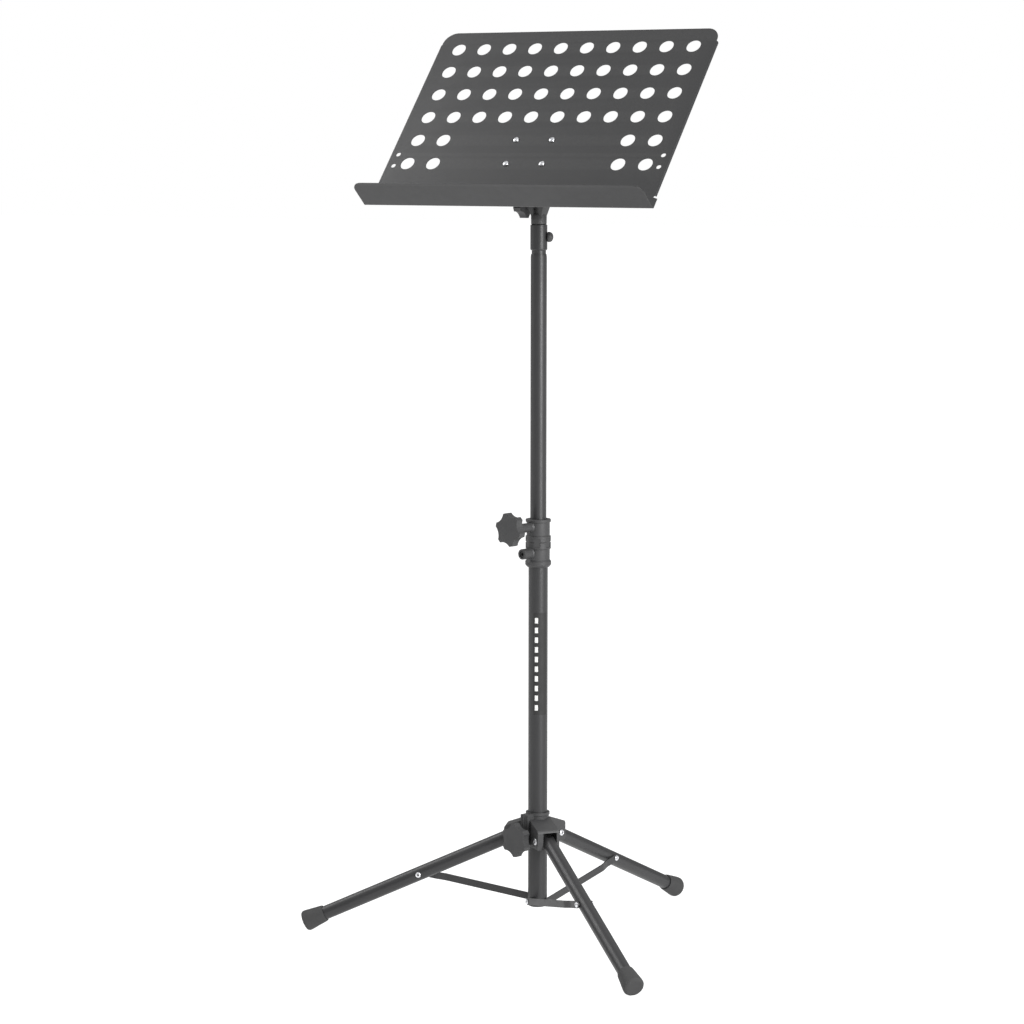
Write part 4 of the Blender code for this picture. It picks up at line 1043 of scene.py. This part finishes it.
def fold_point(u, v, w):
    """Map a point of the flat blank to the folded sheet, in the desk's own frame.

    u runs to the right, v up the slope and w from the middle of the sheet towards the reader. The
    side strips fold back past DESK_HALF_WIDTH, and the shelf folds forward past DESK_BEND_V.
    """
    x, y, z = u, -PIVOT_TO_SHEET + SHEET / 2.0, v
    normal = Vector((0.0, -1.0, 0.0))
    side = math.copysign(1.0, u)
    over = abs(u) - (DESK_HALF_WIDTH - SIDE_BEND_R)
    under = DESK_BEND_V + BEND_R - v
    if under > 0.0:
        angle = min(under / BEND_R, math.pi / 2.0)
        straight = max(under - BEND_R * math.pi / 2.0, 0.0)
        z = DESK_BEND_V + BEND_R - BEND_R * math.sin(angle)
        y -= BEND_R * (1.0 - math.cos(angle)) + straight
        normal = Vector((0.0, -math.cos(angle), math.sin(angle)))
    elif over > 0.0 and v > FLANGE_BOTTOM_V - 1.0:
        angle = min(over / SIDE_BEND_R, math.pi / 2.0)
        straight = max(over - SIDE_BEND_R * math.pi / 2.0, 0.0)
        x = side * (DESK_HALF_WIDTH - SIDE_BEND_R + SIDE_BEND_R * math.sin(angle))
        y += SIDE_BEND_R * (1.0 - math.cos(angle)) + straight
        normal = Vector((side * math.sin(angle), -math.cos(angle), 0.0))
    return (Vector((x, y, z + PIVOT_TO_GRID)) + w * normal) * MM


def blank_outlines():
    strip = DESK_HALF_WIDTH - SIDE_BEND_R + SIDE_BEND_R * math.pi / 2.0 + SIDE_FLANGE - SIDE_BEND_R
    shelf_edge = DESK_BEND_V + BEND_R - BEND_R * math.pi / 2.0 - (SHELF_DEPTH - BEND_R)
    corner_x = DESK_HALF_WIDTH - SIDE_BEND_R - DESK_CORNER_R
    shelf_centre = (SHELF_HALF_WIDTH - SHELF_CORNER_R, shelf_edge + SHELF_CORNER_R)
    right = arc(SHELF_CORNER_R, -90.0, 0.0, 16, shelf_centre)[:-1]
    right += [
        (SHELF_HALF_WIDTH, shelf_edge + SHELF_CORNER_R),
        (SHELF_HALF_WIDTH, FLANGE_BOTTOM_V - 5.0),
        (DESK_HALF_WIDTH - SIDE_BEND_R, FLANGE_BOTTOM_V - 3.0),
        (DESK_HALF_WIDTH - SIDE_BEND_R, FLANGE_BOTTOM_V),
        (strip, FLANGE_BOTTOM_V + 2.0),
        (strip, FLANGE_TOP_V - 2.0),
        (DESK_HALF_WIDTH - SIDE_BEND_R, FLANGE_TOP_V),
    ]
    right += arc(DESK_CORNER_R, 0.0, 90.0, 24, (corner_x, DESK_TOP_V - DESK_CORNER_R))
    left = [(-u, v) for u, v in reversed(right)]
    outlines = [right + left]
    for row in range(ROWS):
        v = (ROWS / 2.0 - 0.5 - row) * PITCH_Z
        for column in range(COLUMNS):
            if row >= OPEN_ROWS and SIDE_COLUMNS <= column < COLUMNS - SIDE_COLUMNS:
                continue
            u = (column - COLUMNS / 2.0 + 0.5) * PITCH_X
            outlines.append(circle(HOLE_R, 56, (u, v)))
    for side in (-1.0, 1.0):
        outlines += [circle(SMALL_HOLE_R, 32, (side * SMALL_HOLE_X, v)) for v in SMALL_HOLE_V]
    return outlines


def fold_lines(steps=8):
    lines = []
    for step in range(steps + 1):
        part = step / steps * math.pi / 2.0
        for side in (-1.0, 1.0):
            lines.append(((1.0, 0.0, 0.0), side * (DESK_HALF_WIDTH - SIDE_BEND_R + SIDE_BEND_R * part)))
        lines.append(((0.0, 1.0, 0.0), DESK_BEND_V + BEND_R - BEND_R * part))
    return lines


def build_desk_plate():
    mesh = slab(blank_outlines(), -SHEET / 2.0, SHEET / 2.0)
    bm = bmesh.new()
    bm.from_mesh(mesh)
    for normal, level in fold_lines():
        geometry = bm.verts[:] + bm.edges[:] + bm.faces[:]
        point = Vector(normal) * level * MM
        bmesh.ops.bisect_plane(bm, geom=geometry, plane_co=point, plane_no=normal, dist=WELD / 10.0)
    for vert in bm.verts:
        vert.co = fold_point(*(vert.co / MM))
    bm.to_mesh(mesh)
    bm.free()
    piece("desk_sheet", mesh, TILT, "desk", "powder_coat", ["desk_plate"])


def build_tilt_bracket():
    near = -PIVOT_TO_SHEET + SHEET + GAP
    far = near + BRACKET_THICK
    low = min(SCREW_V) + PIVOT_TO_GRID - BRACKET_MARGIN
    high = max(SCREW_V) + PIVOT_TO_GRID + BRACKET_MARGIN
    half = BRACKET_HALF_WIDTH
    corners = [(half, high), (-half, high), (-half, low), (half, low)]
    outline = fillet(corners, BRACKET_CORNER_R, 8)
    mesh = slab([outline], near, far, "XZ")
    ear = [(far - 1.0, low + 1.0)] + arc(EAR_R, -95.0, 70.0, 40) + [(far - 1.0, high - 1.0)]
    ears = []
    for side in (-1.0, 1.0):
        low_x, high_x = sorted((side * (EAR_OUTER_X - EAR_THICK), side * EAR_OUTER_X))
        ears.append(slab([ear], low_x, high_x, "YZ"))
    mesh = combined(mesh, ears, "UNION")
    hole = rod(TILT_BOLT_R + GAP, (-THROUGH, 0, 0), (THROUGH, 0, 0))
    mesh = softened(combined(mesh, [hole], "DIFFERENCE"), 0.5, 2)
    piece("desk_bracket", mesh, TILT, "desk", "powder_coat", ["tilt_bracket"])


def screw_mesh(length):
    """A domed screw head with a cross recess, on a plain shank."""
    profile = list(SCREW_HEAD) + [(SCREW_R, 0.0), (SCREW_R, -length), (0.0, -length)]
    mesh = turned(profile, SMALL, edge=0.3)
    floor, top = CROSS_DEPTH
    cross = []
    for half_x, half_y in (
        (CROSS_HALF_LENGTH, CROSS_HALF_WIDTH),
        (CROSS_HALF_WIDTH, CROSS_HALF_LENGTH),
    ):
        cross.append(block((-half_x, -half_y, floor), (half_x, half_y, top)))
    return combined(mesh, cross, "DIFFERENCE")


def build_desk_fasteners():
    number = 0
    sheet_front = -PIVOT_TO_SHEET
    bracket_back = sheet_front + SHEET + GAP + BRACKET_THICK
    length = bracket_back - sheet_front + GAP + SCREW_TAIL
    near = bracket_back + GAP
    first_turn, next_turn = SCREW_TURN
    for v in SCREW_V:
        for side in (-1.0, 1.0):
            number += 1
            x, z = side * SCREW_X, v + PIVOT_TO_GRID
            name = f"desk_screw_{number}"
            mesh = moved(screw_mesh(length), turn(first_turn + next_turn * number, "Z"))
            mesh.transform(axis_matrix((x, sheet_front - GAP, z), (0, -1, 0)))
            piece(name, mesh, TILT, "desk", "zinc", [name])
            nut = combined(
                rod(NUT_R, (x, near, z), (x, near + NUT_THICK, z), 6),
                [rod(NUT_BORE_R, (x, near - 1, z), (x, near + 5, z))], "DIFFERENCE",
            )
            nut = softened(nut, 0.3)
            piece(f"desk_hex_nut_{number}", nut, TILT, "desk", "zinc", [f"desk_nut_{number}"])


# ---------------------------------------------------------------- hub
def build_leg_hub():
    core = turned([
        (0.0, HUB_TOP),
        (HUB_RING_R, HUB_TOP),
        (HUB_RING_R, HUB_TOP - HUB_LIP),
        (HUB_RING_R - HUB_RING_STEP, HUB_TOP - HUB_LIP - 0.8),
        (HUB_RING_R - HUB_RING_STEP, HUB_TOP - HUB_RING_DEPTH),
        (HUB_CORE_R, HUB_TOP - HUB_RING_DEPTH - 1.0),
        (HUB_CORE_R, HUB_BOTTOM),
        (0.0, HUB_BOTTOM),
    ], SMOOTH, edge=0.0)
    centre = (LUG_OUTER_R - LUG_CORNER_R, LUG_TOP_OUTER - LUG_CORNER_R - 0.3)
    corner = arc(LUG_CORNER_R, 0.0, 62.0, 12, centre)
    outline = [(HUB_WALL_START, HUB_BOTTOM), (LUG_OUTER_R, HUB_BOTTOM)] + corner
    outline.append((HUB_WALL_START, LUG_TOP_INNER + 2.2))
    solids, cuts = [], []
    for name, azimuth in LEG_AZIMUTHS.items():
        spin = turn(azimuth, "Z")
        low = -LUG_HALF_WIDTH - LUG_PAD[name]
        solids.append(moved(slab([outline], low, LUG_HALF_WIDTH, "XZ"), spin))
        cuts.append(moved(block(
            (SLOT_INNER_R, -LUG_SLOT_HALF, HUB_BOTTOM - 2.0),
            (LUG_OUTER_R + 2.0, LUG_SLOT_HALF, SLOT_TOP),
        ), spin))
    spin = turn(CLAMP_AZIMUTH - 90.0, "Z")
    for low_x, high_x, reach, top in (
        (-HUB_BOSS_HALF, HUB_BOSS_HALF - HUB_BLOCK_END, HUB_BOSS_R, HUB_BOSS_TOP),
        (HUB_BOSS_HALF - HUB_RIB_HALF, HUB_BOSS_HALF + HUB_RIB_HALF, HUB_BOSS_R - 1.0, HUB_RIB_TOP),
    ):
        boss = block((low_x, HUB_WALL_START, HUB_BOTTOM + 2.0), (high_x, reach, top))
        solids.append(moved(boss, spin))
    mesh = combined(core, solids, "UNION")
    for x in HUB_GROOVES:
        groove = block(
            (x, HUB_BOSS_R - HUB_GROOVE_DEPTH, HUB_BOTTOM),
            (x + HUB_GROOVE_WIDTH, HUB_BOSS_R + 1.0, HUB_BOSS_TOP - 3.0),
        )
        cuts.append(moved(groove, spin))
    cuts.append(rod(HUB_BORE_R, (0, 0, HUB_BOTTOM - 5.0), (0, 0, HUB_TOP + 5.0), SMOOTH))
    mesh = softened(combined(mesh, cuts, "DIFFERENCE"), 0.8, 3)
    piece("hub_spider", mesh, COLUMN, "hub", "moulding", ["leg_hub"])


# ---------------------------------------------------------------- legs and braces
def build_leg(name, spoke):
    from_spoke = shift(LEG_PIVOT_R, 0, LEG_PIVOT_Z) @ turn(LEG_ANGLE, "Y")
    leg = spoke @ from_spoke
    body = f"leg_{name}"
    along = turn(90.0, "Y")
    tube_end = LEG_LENGTH - LEG_TUBE_SHORT
    bore = LEG_R - LEG_WALL
    profile = [(bore, tube_end), (LEG_R, tube_end), (LEG_R, -LEG_OVERHANG), (bore, -LEG_OVERHANG)]
    mesh = turned(profile, SMOOTH, along)
    mesh = combined(mesh, [slab([LEG_NOTCH], -ACROSS, ACROSS, "XZ")], "DIFFERENCE")
    piece(f"leg_{name}_tube", mesh, leg, body, "powder_coat", [f"leg_tube_{name}"])

    mouth = LEG_LENGTH - CAP_LENGTH
    socket_r = LEG_R + GAP
    mesh = turned([
        (0.0, LEG_LENGTH),
        (CAP_R - 4.2, LEG_LENGTH),
        (CAP_R - 1.3, LEG_LENGTH - 1.0),
        (CAP_R - 0.1, LEG_LENGTH - 3.4),
        (CAP_R - 0.2, LEG_LENGTH - 8.0),
        (CAP_R - 1.4, LEG_LENGTH - 18.0),
        (CAP_R - 3.1, mouth + 3.0),
        (CAP_R - 3.6, mouth + 0.8),
        (CAP_R - 4.0, mouth),
        (socket_r, mouth),
        (socket_r, tube_end + GAP),
        (0.0, tube_end + GAP),
    ], SMOOTH, along, 1.2)
    floor = block(
        (LEG_PIVOT_R + FOOT_CUT_R[0], -FOOT_CUT_HALF, FOOT_FLAT_Z - FOOT_CUT_DEPTH),
        (LEG_PIVOT_R + FOOT_CUT_R[1], FOOT_CUT_HALF, FOOT_FLAT_Z),
    )
    mesh = combined(mesh, [moved(floor, from_spoke.inverted())], "DIFFERENCE")
    piece(f"leg_{name}_foot", mesh, leg, body, "rubber", [f"foot_cap_{name}"])
    near_face = -(BRACE_Y_LEG - BRACE_THICK / 2.0)
    rivet(
        f"brace_leg_rivet_{name}", leg, (BRACE_ON_LEG, LEG_R + GAP, 0), (0, 1, 0), body,
        STRAP_RIVET_R, LEG_R - near_face, STRAP_RIVET_HEAD,
    )


def brace_offset(x):
    t = min(max((x - JOGGLE_START) / (JOGGLE_END - JOGGLE_START), 0.0), 1.0)
    ease = t * t * (3.0 - 2.0 * t)
    return -(BRACE_Y_COLUMN + (BRACE_Y_LEG - BRACE_Y_COLUMN) * ease)


def build_brace(name, spoke):
    brace = spoke @ shift(0, 0, BRACE_PIVOT_Z) @ turn(-BRACE_ANGLE, "Y")
    body = f"brace_{name}"
    half = BRACE_HALF_WIDTH
    outline = arc(half, 90.0, 270.0, 24) + arc(half, -90.0, 90.0, 24, (BRACE_LENGTH, 0.0))
    mesh = slab([outline], -BRACE_THICK / 2.0, BRACE_THICK / 2.0, "XZ")
    bm = bmesh.new()
    bm.from_mesh(mesh)
    for step in range(JOGGLE_STEPS + 1):
        x = JOGGLE_START + (JOGGLE_END - JOGGLE_START) * step / JOGGLE_STEPS
        geometry = bm.verts[:] + bm.edges[:] + bm.faces[:]
        bmesh.ops.bisect_plane(
            bm, geom=geometry, plane_co=(x * MM, 0, 0), plane_no=(1, 0, 0), dist=WELD / 10.0,
        )
    for vert in bm.verts:
        vert.co.y += brace_offset(vert.co.x / MM) * MM
    bm.to_mesh(mesh)
    bm.free()
    mesh = softened(mesh, 0.45, 3, 50.0)
    piece(f"brace_{name}_strap", mesh, brace, body, "powder_coat", [f"leg_brace_{name}"])
    outer_face = -(BRACE_Y_LEG + BRACE_THICK / 2.0) - GAP / 3.0
    rivet(
        f"brace_rivet_head_{name}", brace, (BRACE_LENGTH, outer_face, 0), (0, -1, 0), body,
        STRAP_RIVET_R, BRACE_THICK, STRAP_RIVET_HEAD,
    )
    column_face = -(BRACE_Y_COLUMN + BRACE_THICK / 2.0) - GAP
    length = -column_face - (TUBE_LOWER_BORE_R - GAP) + 0.2
    rivet(
        f"brace_pivot_rivet_{name}", spoke, (0, column_face, BRACE_PIVOT_Z), (0, -1, 0), "column",
        STRAP_RIVET_R, length, STRAP_RIVET_HEAD, STRAP_RIVET_TAIL,
    )


def build_base():
    build_leg_hub()
    for name, azimuth in LEG_AZIMUTHS.items():
        spoke = COLUMN @ turn(azimuth, "Z")
        face = LUG_HALF_WIDTH + GAP
        head_y = -face - LUG_PAD[name]
        rivet(
            f"leg_pivot_rivet_{name}", spoke, (LEG_PIVOT_R, head_y, LEG_PIVOT_Z), (0, -1, 0), "hub",
            RIVET_R, face - head_y, RIVET_HEAD, RIVET_HEAD,
        )
        build_leg(name, spoke)
        build_brace(name, spoke)


# ---------------------------------------------------------------- the stand
build_camera()
build_floor()
build_light()
build_column()
build_height_collar()
build_label()
build_thumbscrew()
star_knob(
    "height_knob", HEIGHT_CLAMP, "height_clamp", HEIGHT_KNOB_R - KNOB_THICK / 2.0,
    HEIGHT_BOSS_END + GAP, HEIGHT_KNOB_PHASE,
)
star_knob(
    "hub_knob", HUB_CLAMP, "hub_clamp", HUB_KNOB_R - KNOB_THICK / 2.0, HUB_BOSS_R + GAP,
    HUB_KNOB_PHASE,
)
tilt_stem = FORK_HALF_WIDTH + WASHER_THICK + 2.0 * GAP
star_knob(
    "tilt_knob", TILT @ turn(-90.0, "Y"), "tilt_clamp", tilt_stem + TILT_KNOB_REACH, tilt_stem,
    TILT_KNOB_PHASE,
)
build_desk_head()
build_tilt_bolt()
build_desk_plate()
build_tilt_bracket()
build_desk_fasteners()
build_base()
dress_cad("mast_bush", "height_stud", "hub_stud", "tilt_spacer")
